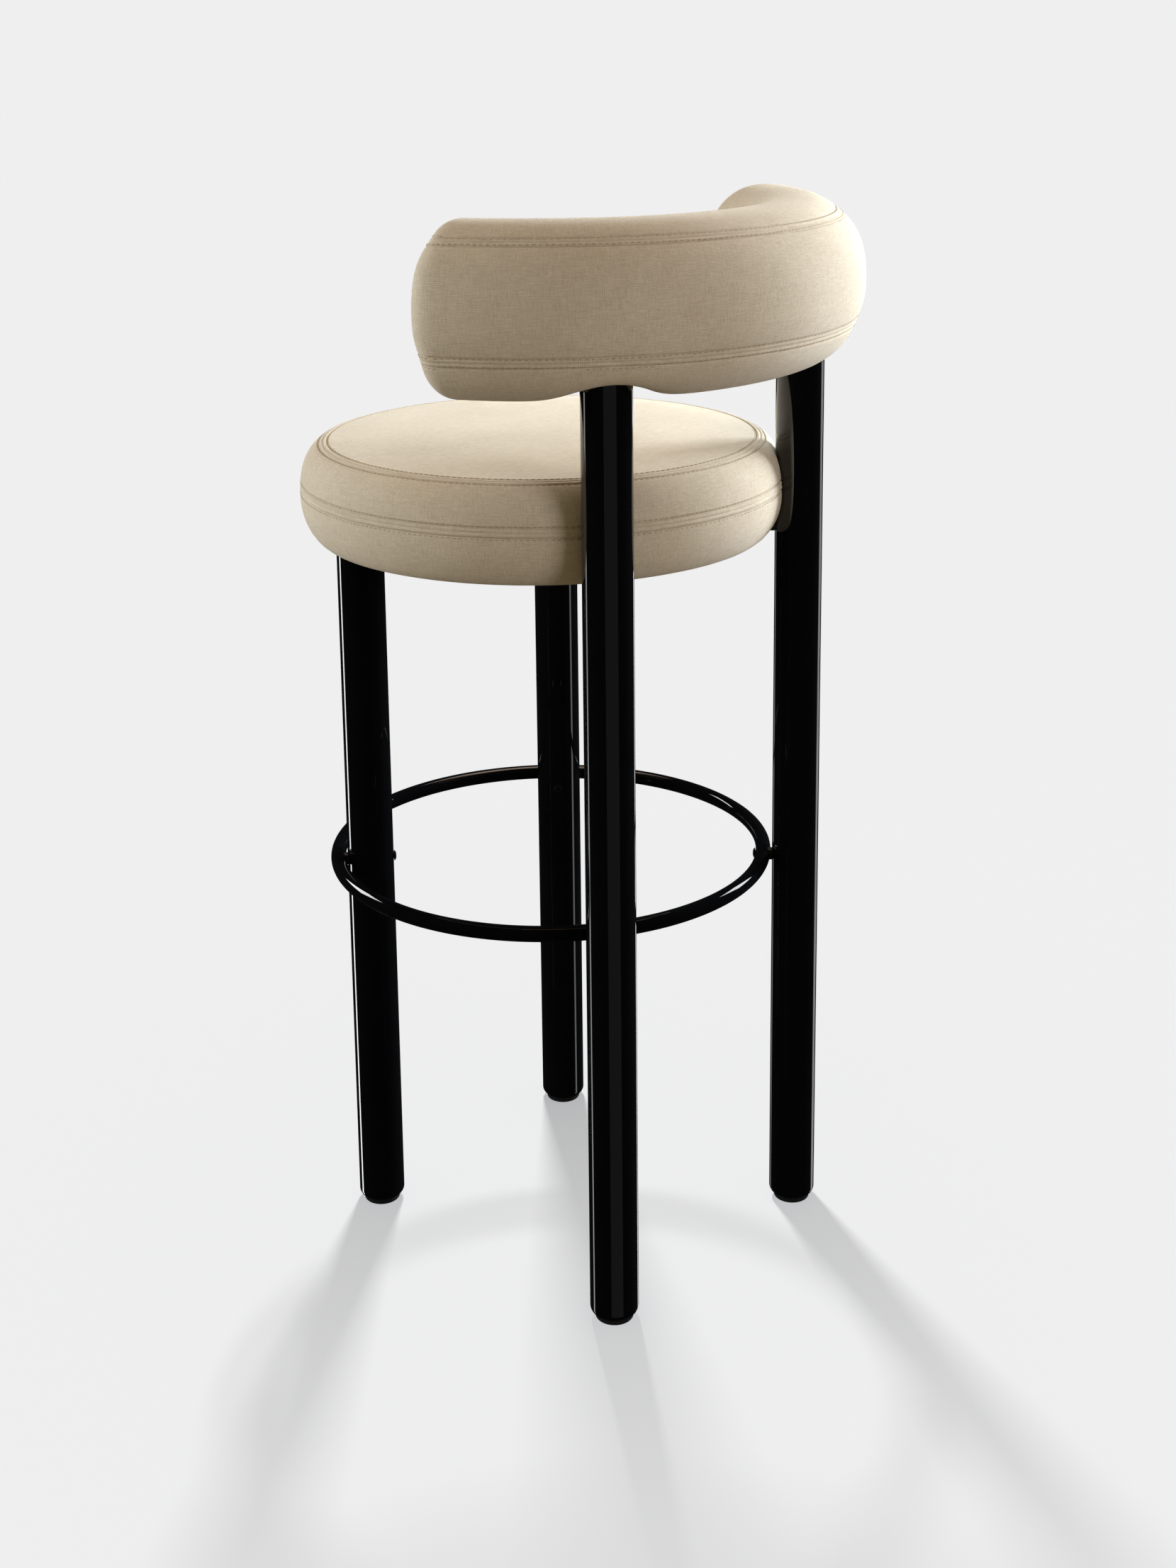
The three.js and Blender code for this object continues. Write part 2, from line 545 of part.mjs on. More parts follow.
for (const bolt of backBolts) {
  const head = backBoardInner - GAP;
  const shape = revolve([
    [0, head - BACK_BOLT_HEAD_HEIGHT],
    [BACK_BOLT_HEAD_RADIUS * 0.7, head - BACK_BOLT_HEAD_HEIGHT],
    [BACK_BOLT_HEAD_RADIUS, head - BACK_BOLT_HEAD_HEIGHT * 0.4],
    [BACK_BOLT_HEAD_RADIUS, head],
    [BACK_BOLT_RADIUS, head],
    [BACK_BOLT_RADIUS, head + BACK_BOLT_LENGTH],
    [0, head + BACK_BOLT_LENGTH],
  ], SMALL_SIDES).rotateY(Math.PI / 2).rotateZ(bolt.direction).translate(0, BACK_Y, bolt.height);
  add(bolt.name, shape, zincSteel());
}

// Two foam blocks are glued to the two faces of the board, and meet on its middle line.
const foamSplit = (backBoardInner + backBoardOuter) / 2;
const backFoam = cut(backSolid(COVER + GAP), backBoard(GAP), ...SIDES.map((side) => legTool(side, BACK_FOAM_TO_LEG)));
const innerZone = backDisc(foamSplit - GAP / 2, 0, 2 * BACK_HEIGHT);
const outerZone = backDisc(foamSplit + GAP / 2, 0, 2 * BACK_HEIGHT);
add("backrest_foam_inner", cut(common(backFoam, innerZone), ...headPockets), foam());
add("backrest_foam_outer", cut(backFoam, outerZone), foam());

// The stool is moved so that its outline is centred on the origin.
const outline = new THREE.Box3().setFromObject(stool);
stool.position.y = -(outline.min.y + outline.max.y) / 2;

export default stool;
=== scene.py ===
# Bar stool with a ring footrest: the visual model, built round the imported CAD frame.
# Metres. +Z is up, the sitter faces -Y, and left and right are as seen from the front.
import json
import math

import bpy
import numpy as np
from mathutils import Matrix, Vector
from mathutils.bvhtree import BVHTree
from mathutils.kdtree import KDTree

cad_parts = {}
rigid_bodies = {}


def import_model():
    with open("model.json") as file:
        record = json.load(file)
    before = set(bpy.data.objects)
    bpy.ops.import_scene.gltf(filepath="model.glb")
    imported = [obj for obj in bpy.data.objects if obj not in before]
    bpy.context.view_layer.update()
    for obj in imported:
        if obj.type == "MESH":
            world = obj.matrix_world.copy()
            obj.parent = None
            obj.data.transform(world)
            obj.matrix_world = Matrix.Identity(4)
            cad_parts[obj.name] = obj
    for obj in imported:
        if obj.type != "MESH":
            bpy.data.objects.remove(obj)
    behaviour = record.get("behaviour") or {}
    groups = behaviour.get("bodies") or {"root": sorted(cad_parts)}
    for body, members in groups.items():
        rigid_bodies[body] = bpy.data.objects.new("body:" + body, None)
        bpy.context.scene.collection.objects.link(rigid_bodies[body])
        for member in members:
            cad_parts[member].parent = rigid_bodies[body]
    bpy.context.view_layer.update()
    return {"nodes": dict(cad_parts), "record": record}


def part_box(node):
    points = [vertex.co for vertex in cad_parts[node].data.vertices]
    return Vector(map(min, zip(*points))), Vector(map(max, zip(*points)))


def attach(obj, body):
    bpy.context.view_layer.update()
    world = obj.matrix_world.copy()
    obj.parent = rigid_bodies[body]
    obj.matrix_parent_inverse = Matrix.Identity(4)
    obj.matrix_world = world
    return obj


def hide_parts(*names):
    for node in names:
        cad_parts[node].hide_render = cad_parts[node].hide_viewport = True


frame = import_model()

SIDES = ("right", "left")
PLACES = ("front", "rear")

# ---- sizes that a box can't give ------------------------------------------------------------
SEAT_ROUND = 0.023  # how far in from the widest line the seat's flat faces start
SEAT_TOP_POWER = 1.55
SEAT_BOTTOM_POWER = 1.85
SEAT_TOP_SEAM_RADIUS = 0.2065
BACK_RADIUS = 0.22425  # to the middle of the backrest cushion
BACK_HALF_ANGLE = math.radians(72)
BACK_STRAIGHT = 0.00825
BACK_HALF_THICKNESS = 0.06375
BACK_POWER = 2.27
BACK_END_LENGTH = 0.030
BACK_END_POWER = 2.4
BACK_END_CROWDING = 1.6  # how much closer together the rows are at the start of a round end
BACK_TOP_SEAM = 0.0615  # above the cushion's middle
BACK_LOWER_SEAM = -0.037
BACK_SEAM_END = -0.012  # how far out from the cushion's middle line the join passes its tip
BACK_ARCH_RISE = 0.024  # of the cover's underside round each leg
BACK_ARCH_REACH = 0.031
COVER = 0.0015
GAP = 0.0003

SEWN_REACH = 0.008  # how far from a join the cover can't swell
STAPLED_DEPTH = 0.020  # below the seat's widest line, where its cover is pulled over the board
SEAT_LEG_HOLD = 0.034  # how far from a leg's axis the cover can't swell
BACK_LEG_HOLD = 0.032
SEAT_SWELL = 0.0035  # the most that the cover swells
BACK_SWELL = 0.003
STITCH_OFFSET = 0.0048  # each topstitch line, from the join
STITCH_PITCH = 0.0054
STITCH_LENGTH = 0.0037
STITCH_RADIUS = 0.00036
FACING_SPAN = 40  # steps along the join that its outward direction is evened over
THREAD_PITCH = 0.0008  # between threads of the weave
OUTER_SPAN = 1.15  # length of the backrest's outer face over that of its middle line
CAP_FULLNESS = 0.86  # the weave lies flat over a round end from this share of the section on

# ---- places taken from the frame ------------------------------------------------------------
def middle(node):
    low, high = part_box(node)
    return (low + high) / 2


seat_low, seat_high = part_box("seat_cover_band")
seat_axis = middle("seat_board")
SEAT_RADIUS = (seat_high.x - seat_low.x) / 2
SEAT_EQUATOR = seat_low.z
SEAT_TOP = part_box("seat_cover_top")[1].z
SEAT_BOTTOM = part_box("seat_cover_bottom")[0].z
back_low, back_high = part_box("backrest_cover_wrap")
BACK_HEIGHT = (back_low.z + back_high.z) / 2
BACK_HALF_HEIGHT = (back_high.z - back_low.z) / 2
BACK_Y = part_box("backrest_cover_band")[1].y - BACK_RADIUS - BACK_HALF_THICKNESS
ring_low, ring_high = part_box("footrest_ring")
RING_ROD = (ring_high.z - ring_low.z) / 2
RING_RADIUS = (ring_high.x - ring_low.x) / 2 - RING_ROD

SHARP = math.radians(40)  # an edge that turns more than this shows as a hard edge


# ---- meshes ---------------------------------------------------------------------------------
def make_object(name, points, faces, uv=None):
    """A smooth mesh object. faces are rows of 3 or 4 vertex numbers, -1 where there is no fourth."""
    faces = np.asarray(faces)
    used = faces >= 0
    mesh = bpy.data.meshes.new(name)
    mesh.vertices.add(len(points))
    mesh.vertices.foreach_set("co", np.asarray(points, np.float32).ravel())
    mesh.loops.add(int(used.sum()))
    mesh.loops.foreach_set("vertex_index", faces[used].astype(np.int32))
    mesh.polygons.add(len(faces))
    starts = np.concatenate([[0], np.cumsum(used.sum(1))[:-1]])
    mesh.polygons.foreach_set("loop_start", starts.astype(np.int32))
    mesh.polygons.foreach_set("use_smooth", np.ones(len(faces), bool))
    mesh.update(calc_edges=True)
    if uv is not None:
        layer = mesh.uv_layers.new(name="weave")
        layer.data.foreach_set("uv", np.asarray(uv, np.float32)[used].ravel())
    mesh.validate()
    thing = bpy.data.objects.new(name, mesh)
    bpy.context.scene.collection.objects.link(thing)
    return thing


def grid_faces(rows, columns, wrap):
    """Quads of a grid whose vertex (i, j) has number i * columns + j, and their (row, column) corners."""
    i, j = np.meshgrid(np.arange(rows - 1), np.arange(columns if wrap else columns - 1), indexing="ij")
    i, j = i.ravel(), j.ravel()
    corner_rows = np.stack([i, i, i + 1, i + 1], 1)
    corner_columns = np.stack([j, j + 1, j + 1, j], 1)
    return corner_rows * columns + corner_columns % columns, corner_rows, corner_columns


def grid_object(name, points, uv=None, tips=(False, False), cap_uv=None, cap_rows=None):
    """A closed tube of rows of points, wrapped across its columns. A tip is a row that is one point.

    The faces after the rows in cap_rows take their weave coordinates from cap_uv.
    """
    rows, columns = points.shape[:2]
    faces, corner_rows, corner_columns = grid_faces(rows, columns, True)
    keep = np.arange(rows * columns)
    if tips[0]:
        keep[:columns] = 0
    if tips[1]:
        keep[-columns:] = (rows - 1) * columns
    faces = keep[faces]
    corner_uv = None if uv is None else uv[corner_rows, corner_columns]
    if cap_uv is not None:
        capped = cap_rows[corner_rows[:, 0]]
        corner_uv[capped] = cap_uv[corner_rows, corner_columns][capped]
    for a, b in ((0, 1), (2, 3)):  # a tip's quads lose their doubled corner
        doubled = faces[:, a] == faces[:, b]
        faces[doubled, b] = -1
    order = np.argsort(faces < 0, axis=1, kind="stable")
    faces = np.take_along_axis(faces, order, 1)
    if corner_uv is not None:
        corner_uv = np.take_along_axis(corner_uv, order[..., None], 1)
    flat = points.reshape(-1, 3)
    used = np.unique(faces[faces >= 0])
    renumber = np.full(len(flat), -1)
    renumber[used] = np.arange(len(used))
    faces = np.where(faces >= 0, renumber[faces], -1)
    return make_object(name, flat[used], faces, corner_uv)


def rings(profile, centre, sides):
    """Rows of points: a (radius, height) profile turned round the vertical line through centre."""
    profile = np.asarray(profile, float)
    angle = np.arange(sides) / sides * 2 * math.pi
    x = centre[0] + profile[:, :1] * np.cos(angle)
    y = centre[1] + profile[:, :1] * np.sin(angle)
    z = np.repeat(profile[:, 1:], sides, 1)
    return np.stack([x, y, z], -1)


def lathe(name, profile, centre, sides=96):
    """A profile that starts and ends on the axis (bottom first), or else is closed on itself."""
    profile = np.asarray(profile, float)
    tips = (profile[0, 0] < 1e-9, profile[-1, 0] < 1e-9)
    if tips[0]:
        thing = grid_object(name, rings(profile, centre, sides), tips=tips)
    else:
        faces, _, _ = grid_faces(len(profile) + 1, sides, True)
        faces %= len(profile) * sides
        thing = make_object(name, rings(profile, centre, sides).reshape(-1, 3), faces)
    thing.data.set_sharp_from_angle(angle=SHARP)
    return thing


def arc(centre_r, centre_z, radius, start, end, steps=8):
    """Points (r, z) of a circular arc, angles in degrees."""
    angle = np.radians(np.linspace(start, end, steps))
    return [(centre_r + radius * math.cos(a), centre_z + radius * math.sin(a)) for a in angle]


# ---- materials ------------------------------------------------------------------------------
class Nodes:
    """A material's node tree, with short ways to add to it."""

    def __init__(self, name):
        self.material = bpy.data.materials.new(name)
        self.material.use_nodes = True
        self.tree = self.material.node_tree
        self.shader = self.tree.nodes["Principled BSDF"]

    def add(self, kind, **settings):
        node = self.tree.nodes.new("ShaderNode" + kind)
        for key, value in settings.items():
            setattr(node, key, value)
        return node

    def link(self, source, target):
        self.tree.links.new(source, target)

    def math(self, operation, *values):
        node = self.add("Math", operation=operation)
        for socket, value in zip(node.inputs, values):
            if isinstance(value, (int, float)):
                socket.default_value = value
            else:
                self.link(value, socket)
        return node.outputs[0]

    def noise(self, vector, scale, detail=2.0, roughness=0.5):
        node = self.add("TexNoise")
        self.link(vector, node.inputs["Vector"])
        node.inputs["Scale"].default_value = scale
        node.inputs["Detail"].default_value = detail
        node.inputs["Roughness"].default_value = roughness
        return node.outputs["Fac"]

    def ramp(self, value, low, high, out_low, out_high):
        node = self.add("MapRange")
        self.link(value, node.inputs["Value"])
        for key, number in (("From Min", low), ("From Max", high), ("To Min", out_low), ("To Max", out_high)):
            node.inputs[key].default_value = number
        return node.outputs["Result"]

    def blend(self, factor, dark, light):
        node = self.add("Mix", data_type="RGBA")
        self.link(factor, node.inputs["Factor"])
        for socket, value in ((node.inputs["A"], dark), (node.inputs["B"], light)):
            if isinstance(value, tuple):
                socket.default_value = (*value, 1)
            else:
                self.link(value, socket)
        return node.outputs["Result"]

    def bump(self, height, strength, distance):
        node = self.add("Bump")
        self.link(height, node.inputs["Height"])
        node.inputs["Strength"].default_value = strength
        node.inputs["Distance"].default_value = distance
        self.link(node.outputs["Normal"], self.shader.inputs["Normal"])

    def set(self, **values):
        for key, value in values.items():
            self.shader.inputs[key.replace("_", " ")].default_value = value

    @property
    def place(self):
        return self.add("TexCoord").outputs["Object"]


def linear(red, green, blue):
    """Linear colour from 8-bit sRGB."""
    levels = [c / 255 for c in (red, green, blue)]
    return tuple(((c + 0.055) / 1.055) ** 2.4 if c > 0.04 else c / 12.92 for c in levels)


def weave_coordinates(nodes):
    """The two thread counts across the cloth at a point, a little wavy."""
    uv = nodes.add("UVMap", uv_map="weave").outputs["UV"]
    split = nodes.add("SeparateXYZ")
    nodes.link(uv, split.inputs[0])
    sway = nodes.ramp(nodes.noise(nodes.place, 60, 3), 0.3, 0.7, -0.6, 0.6)
    shift = nodes.ramp(nodes.noise(nodes.place, 47, 3), 0.3, 0.7, -0.6, 0.6)
    return nodes.math("ADD", split.outputs[0], sway), nodes.math("ADD", split.outputs[1], shift)


def thread(nodes, across, along, phase):
    """One set of threads of a plain weave: how high it stands, and its own shade."""
    index = nodes.math("FLOOR", across)
    width = nodes.math("ABSOLUTE", nodes.math("SINE", nodes.math("MULTIPLY", across, math.pi)))
    turn = nodes.math("ADD", nodes.math("ADD", along, index), phase - 0.5)
    rise = nodes.math("COSINE", nodes.math("MULTIPLY", turn, math.pi))
    height = nodes.math("MULTIPLY", width, nodes.math("MULTIPLY_ADD", rise, 0.36, 0.64))
    spot = nodes.add("CombineXYZ")
    nodes.link(nodes.math("MULTIPLY", index, 1.7), spot.inputs[0])
    nodes.link(nodes.math("MULTIPLY", along, 0.08), spot.inputs[1])
    spot.inputs[2].default_value = 7.3 * phase
    return height, nodes.noise(spot.outputs[0], 1.0, 3, 0.65)


def linen_material(name, dark, light):
    nodes = Nodes(name)
    u, v = weave_coordinates(nodes)
    warp, warp_shade = thread(nodes, u, v, 0.0)
    weft, weft_shade = thread(nodes, v, u, 1.0)
    height = nodes.math("MAXIMUM", warp, weft)
    on_top = nodes.math("GREATER_THAN", warp, weft)
    shade = nodes.add("Mix", data_type="FLOAT")
    nodes.link(on_top, shade.inputs["Factor"])
    nodes.link(weft_shade, shade.inputs["A"])
    nodes.link(warp_shade, shade.inputs["B"])
    cloudy = nodes.ramp(nodes.noise(nodes.place, 9, 4, 0.6), 0.3, 0.7, -0.05, 0.05)
    tone = nodes.ramp(shade.outputs["Result"], 0.25, 0.75, -0.14, 0.32)
    # Painted shade: the weave's low places between the raised threads are given a darker colour, the thread
    # tops a lighter one.
    weave_gap_shade = nodes.ramp(height, 0.3, 1.0, 0.13, 0.62)
    # Painted shade: the crease mark darkens the linen's colour in the seams' stitch lines and joins. It is
    # added to a random cloudy tone.
    sewn = nodes.add("Attribute", attribute_name="crease").outputs["Fac"]
    cloudy_and_seam_shade = nodes.math("MULTIPLY_ADD", sewn, -0.12, cloudy)
    colour = nodes.blend(nodes.math("ADD", nodes.math("ADD", weave_gap_shade, tone), cloudy_and_seam_shade), dark, light)
    nodes.link(colour, nodes.shader.inputs["Base Color"])
    nodes.link(nodes.ramp(height, 0.3, 1.0, 0.97, 0.82), nodes.shader.inputs["Roughness"])
    nodes.set(Sheen_Weight=0.12, Sheen_Roughness=0.45, Specular_IOR_Level=0.25)
    nodes.bump(height, 0.55, 0.0004)
    return nodes.material


def lacquer_material():
    nodes = Nodes("black_gloss_lacquer")
    mottle = nodes.noise(nodes.place, 30, 4, 0.6)
    nodes.link(nodes.blend(mottle, (0.0012, 0.0012, 0.0013), (0.0024, 0.0024, 0.0026)),
               nodes.shader.inputs["Base Color"])
    nodes.link(nodes.ramp(nodes.noise(nodes.place, 14, 5, 0.7), 0.3, 0.7, 0.035, 0.07),
               nodes.shader.inputs["Roughness"])
    nodes.set(IOR=1.5, Coat_Weight=0.5, Coat_Roughness=0.02)
    nodes.bump(nodes.noise(nodes.place, 260, 2), 0.012, 0.0004)
    return nodes.material


def speckled_material(name, dark, light, roughness, scale=350, metallic=0.0, bump=0.08):
    """A moulded, plated or painted surface: fine grain in its colour, gloss and relief."""
    nodes = Nodes(name)
    grain = nodes.noise(nodes.place, scale, 4, 0.6)
    nodes.link(nodes.blend(grain, dark, light), nodes.shader.inputs["Base Color"])
    nodes.link(nodes.ramp(nodes.noise(nodes.place, scale / 8, 3), 0.3, 0.7, roughness * 0.8, roughness * 1.2),
               nodes.shader.inputs["Roughness"])
    nodes.set(Metallic=metallic)
    nodes.bump(grain, bump, 0.0003)
    return nodes.material


def plywood_material():
    """Birch face veneer with long grain, and the plies' layers on every edge."""
    nodes = Nodes("birch_plywood")
    split = nodes.add("SeparateXYZ")
    nodes.link(nodes.place, split.inputs[0])
    stretch = nodes.add("Mapping")
    nodes.link(nodes.place, stretch.inputs["Vector"])
    stretch.inputs["Scale"].default_value = (70, 6, 70)
    grain = nodes.noise(stretch.outputs["Vector"], 1.5, 5, 0.65)
    layers = nodes.math("SINE", nodes.math("MULTIPLY", split.outputs[2], 2 * math.pi / 0.003))
    mix = nodes.math("ADD", nodes.math("MULTIPLY", grain, 0.8), nodes.math("MULTIPLY", layers, 0.12))
    colour = nodes.blend(mix, linear(176, 134, 86), linear(221, 190, 148))
    nodes.link(colour, nodes.shader.inputs["Base Color"])
    nodes.set(Roughness=0.6)
    nodes.bump(grain, 0.15, 0.0003)
    return nodes.material


# ---- how a piece joins the frame ------------------------------------------------------------
def wear(thing, material):
    thing.data.materials.clear()
    thing.data.materials.append(material)


def place_piece(thing, material, slot, *nodes):
    """Dresses a new piece, and lets it stand for its CAD nodes."""
    wear(thing, material)
    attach(thing, "root")
    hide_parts(*nodes)


# ---- legs, glides and footrest --------------------------------------------------------------
LEG_FOOT_ROUND = 0.007
LEG_FOOT_TURN = 62  # degrees of the foot's round that are kept
LEG_FOOT_HEIGHT = 0.012
LEG_WALL = 0.0015


def leg_tube(node):
    low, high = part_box(node)
    radius = (high.x - low.x) / 2
    outer = arc(radius - LEG_FOOT_ROUND, LEG_FOOT_HEIGHT, LEG_FOOT_ROUND, -LEG_FOOT_TURN, 0, 12)
    inner = arc(radius - LEG_FOOT_ROUND, LEG_FOOT_HEIGHT, LEG_FOOT_ROUND - LEG_WALL, 0, -LEG_FOOT_TURN, 6)
    profile = [*outer, (radius, high.z), (radius - LEG_WALL, high.z), *inner]
    return lathe(node + "_tube", profile, middle(node), 128)


def glide_disc(node):
    low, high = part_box(node)
    radius = (high.x - low.x) / 2
    edge = arc(radius - 0.0018, low.z + 0.0018, 0.0018, -90, 0, 7)
    profile = [(0, low.z), (radius * 0.5, low.z), *edge, (radius, high.z), (0, high.z)]
    return lathe(node + "_disc", profile, middle(node), 96)


def ring_rod():
    turn = np.arange(320) / 320 * 2 * math.pi
    section = np.arange(36) / 36 * 2 * math.pi
    reach = RING_RADIUS + RING_ROD * np.cos(section)
    centre = middle("footrest_ring")
    x = centre.x + np.cos(turn)[:, None] * reach
    y = centre.y + np.sin(turn)[:, None] * reach
    z = centre.z + np.tile(RING_ROD * np.sin(section), (len(turn), 1))
    points = np.stack([x, y, z], -1)
    faces, _, _ = grid_faces(len(turn) + 1, len(section), True)
    return make_object("footrest_ring_rod", points.reshape(-1, 3), faces % (len(turn) * len(section)))


# ---- cloth ----------------------------------------------------------------------------------
VOXEL = 0.006
PRESSURE = 4.0
LAST_FRAME = 20


def places(mesh):
    co = np.empty(len(mesh.vertices) * 3, np.float32)
    mesh.vertices.foreach_get("co", co)
    return co.reshape(-1, 3).astype(float)


def set_places(mesh, co):
    mesh.vertices.foreach_set("co", np.asarray(co, np.float32).ravel())
    mesh.update()


def near(line):
    """A search tree over the points of a line."""
    tree = KDTree(len(line))
    for i, spot in enumerate(line):
        tree.insert(spot, i)
    tree.balance()
    return tree


def inflate(thing, pinned, cap):
    """Cloth simulation: the cushion's cover under the filling's pressure, held where pinned says."""
    scene = bpy.context.scene
    coarse = thing.copy()
    coarse.data = thing.data.copy()
    scene.collection.objects.link(coarse)
    remesh = coarse.modifiers.new("voxels", "REMESH")
    remesh.mode = "VOXEL"
    remesh.voxel_size = VOXEL
    voxels = bpy.data.meshes.new_from_object(coarse.evaluated_get(bpy.context.evaluated_depsgraph_get()))
    coarse.modifiers.clear()
    coarse.data = voxels
    rest = places(voxels)
    group = coarse.vertex_groups.new(name="pinned")
    group.add([int(i) for i in np.flatnonzero(pinned(rest))], 1.0, "REPLACE")
    cloth = coarse.modifiers.new("cloth", "CLOTH")
    cloth.settings.use_pressure = True
    cloth.settings.uniform_pressure_force = PRESSURE
    cloth.settings.vertex_group_mass = "pinned"
    cloth.settings.effector_weights.gravity = 0
    cloth.point_cache.frame_start = 1
    cloth.point_cache.frame_end = LAST_FRAME
    for number in range(1, LAST_FRAME + 1):
        scene.frame_set(number)
    swollen = coarse.evaluated_get(bpy.context.evaluated_depsgraph_get()).to_mesh()
    shift = places(swollen) - rest
    scene.frame_set(1)
    bpy.data.objects.remove(coarse)
    reach = np.linalg.norm(shift, axis=1, keepdims=True)
    shift *= cap * np.tanh(reach / cap) / np.maximum(reach, 1e-9)
    tree = near(rest)
    co = places(thing.data)
    moved = np.zeros_like(co)
    for i, spot in enumerate(co):
        found = tree.find_n(spot, 6)
        weight = np.array([1 / (f[2] + 0.001) ** 2 for f in found])
        moved[i] = (shift[[f[1] for f in found]] * weight[:, None]).sum(0) / weight.sum()
    set_places(thing.data, co + moved)


def hollow(thing, cutters):
    """Cuts the cutters out of a cushion, so that it stays clear of what goes into it."""
    for cutter in cutters:
        carve = thing.modifiers.new("carve", "BOOLEAN")
        carve.operation = "DIFFERENCE"
        carve.solver = "EXACT"
        carve.object = cutter
    cut = bpy.data.meshes.new_from_object(thing.evaluated_get(bpy.context.evaluated_depsgraph_get()))
    thing.modifiers.clear()
    thing.data = cut
    thing.data.set_sharp_from_angle(angle=math.radians(70))
    for cutter in cutters:
        bpy.data.objects.remove(cutter)


def crease(thing, join_line):
    """Marks how deep each place lies in a seam: 1 in a stitch line or in the join. The linen darkens its
    colour by this mark: painted shade in the seam's grooves.
    """
    tree = near(join_line)
    away = np.array([tree.find(spot)[2] for spot in places(thing.data)])
    marked = np.maximum(np.exp(-((away - STITCH_OFFSET) / 0.0009) ** 2), 0.75 * np.exp(-(away / 0.0008) ** 2))
    layer = thing.data.attributes.new("crease", "FLOAT", "POINT")
    layer.data.foreach_set("value", marked.astype(np.float32))


# ---- sewn seams -----------------------------------------------------------------------------
def groove(distance):
    """How far the cloth is drawn in or puffed out at a distance from the join of a twin-needle seam.

    Each term is a depth and a width: the join, the two stitch lines, the welts between, and the draw.
    """
    join = -0.0007 * np.exp(-(distance / 0.0006) ** 2)
    line = -0.0011 * np.exp(-((np.abs(distance) - STITCH_OFFSET) / 0.0010) ** 2)
    welt = 0.0002 * np.exp(-((np.abs(distance) - STITCH_OFFSET / 2) / 0.0013) ** 2)
    draw = -0.0018 * np.exp(-(distance / 0.016) ** 2)
    return join + line + welt + draw


def spaced(length, fine_at, fine_step, coarse_step, reach):
    """Distances along a length, close together near the places in fine_at."""
    steps = [0.0]
    while steps[-1] < length:
        here = steps[-1]
        away = min((abs(here - place) for place in fine_at), default=1.0)
        blend = min(max((away - reach) / (2 * reach), 0.0), 1.0)
        steps.append(here + fine_step + (coarse_step - fine_step) * blend)
    return np.array(steps) * (length / steps[-1])


def normals_of(points, wrap):
    """Unit normals of a grid of points, whose columns run anticlockwise seen from outside, rows upward."""
    down = np.gradient(points, axis=0)
    if wrap:
        across = (np.roll(points, -1, 1) - np.roll(points, 1, 1)) / 2
    else:
        across = np.gradient(points, axis=1)
    normal = np.cross(across, down)
    return normal / np.maximum(np.linalg.norm(normal, axis=-1, keepdims=True), 1e-12)


def lengths(points):
    return np.concatenate([[0], np.cumsum(np.linalg.norm(np.diff(points, axis=0), axis=1))])


def stitches(name, surface, lines, material):
    """Short threads laid along lines of points, each half sunk in the surface's cloth."""
    tree = BVHTree.FromObject(surface, bpy.context.evaluated_depsgraph_get())
    sides, hoops = 6, 5
    points, faces = [], []
    along = np.linspace(-1, 1, hoops)
    fat = np.sqrt(np.clip(1 - along ** 4, 0.05, 1))
    around = np.arange(sides) / sides * 2 * math.pi
    pattern, _, _ = grid_faces(hoops, sides, True)
    for line in lines:
        run = lengths(line)
        count = int(run[-1] / STITCH_PITCH)
        centres = (np.arange(count) + 0.5) * run[-1] / count
        for at in centres:
            ends = [np.array([np.interp(at + s * STITCH_LENGTH / 2, run, line[:, k]) for k in range(3)])
                    for s in (-1, 1)]
            middle_point = (ends[0] + ends[1]) / 2
            spot, normal, _, _ = tree.find_nearest(Vector(middle_point))
            direction = ends[1] - ends[0]
            direction /= np.linalg.norm(direction)
            normal = np.array(normal)
            side = np.cross(normal, direction)
            side /= np.linalg.norm(side)
            spine = (np.array(spot) + normal * STITCH_RADIUS * 0.55
                     + np.outer(along, direction) * STITCH_LENGTH / 2
                     - np.outer(along ** 2, normal) * STITCH_RADIUS * 1.5)
            hoop = (np.outer(np.cos(around), side) + np.outer(np.sin(around), normal)) * STITCH_RADIUS
            faces.append(pattern + len(points) * hoops * sides)
            points.append((spine[:, None] + hoop[None] * fat[:, None, None]).reshape(-1, 3))
    thing = make_object(name, np.concatenate(points), np.concatenate(faces))
    wear(thing, material)
    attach(thing, "root")
    return thing


# ---- seat -----------------------------------------------------------------------------------
def seat_outline(steps=160):
    """(radius, height) from the middle of the top, over the edge, to the middle of the underside."""
    angle = np.linspace(math.pi / 2, -math.pi / 2, 2 * steps)
    power = np.where(angle > 0, SEAT_TOP_POWER, SEAT_BOTTOM_POWER)
    reach = np.where(angle > 0, SEAT_TOP - SEAT_EQUATOR, SEAT_EQUATOR - SEAT_BOTTOM)
    radius = SEAT_RADIUS - SEAT_ROUND + SEAT_ROUND * np.cos(angle).clip(0) ** (2 / power)
    height = SEAT_EQUATOR + reach * np.sign(np.sin(angle)) * np.abs(np.sin(angle)) ** (2 / power)
    crown = [(r, SEAT_TOP - 0.0012 * (r / 0.2) ** 2) for r in np.linspace(0, radius[0], 20)[:-1]]
    height = np.where(angle > 0, height - 0.0012 * (radius / 0.2) ** 2, height)
    return np.vstack([crown, np.stack([radius, height], 1)])


def softened(outline, reach):
    """An outline with its corners rounded over a distance, and its two ends kept."""
    run = lengths(outline)
    even = np.linspace(0, run[-1], 1200)
    line = np.stack([np.interp(even, run, outline[:, k]) for k in range(2)], 1)
    weight = np.exp(-((even[:, None] - even[None]) / reach) ** 2)
    soft = weight @ line / weight.sum(1, keepdims=True)
    fade = np.minimum(1, np.minimum(even, even[-1] - even) / (2 * reach))[:, None]
    return line + (soft - line) * fade


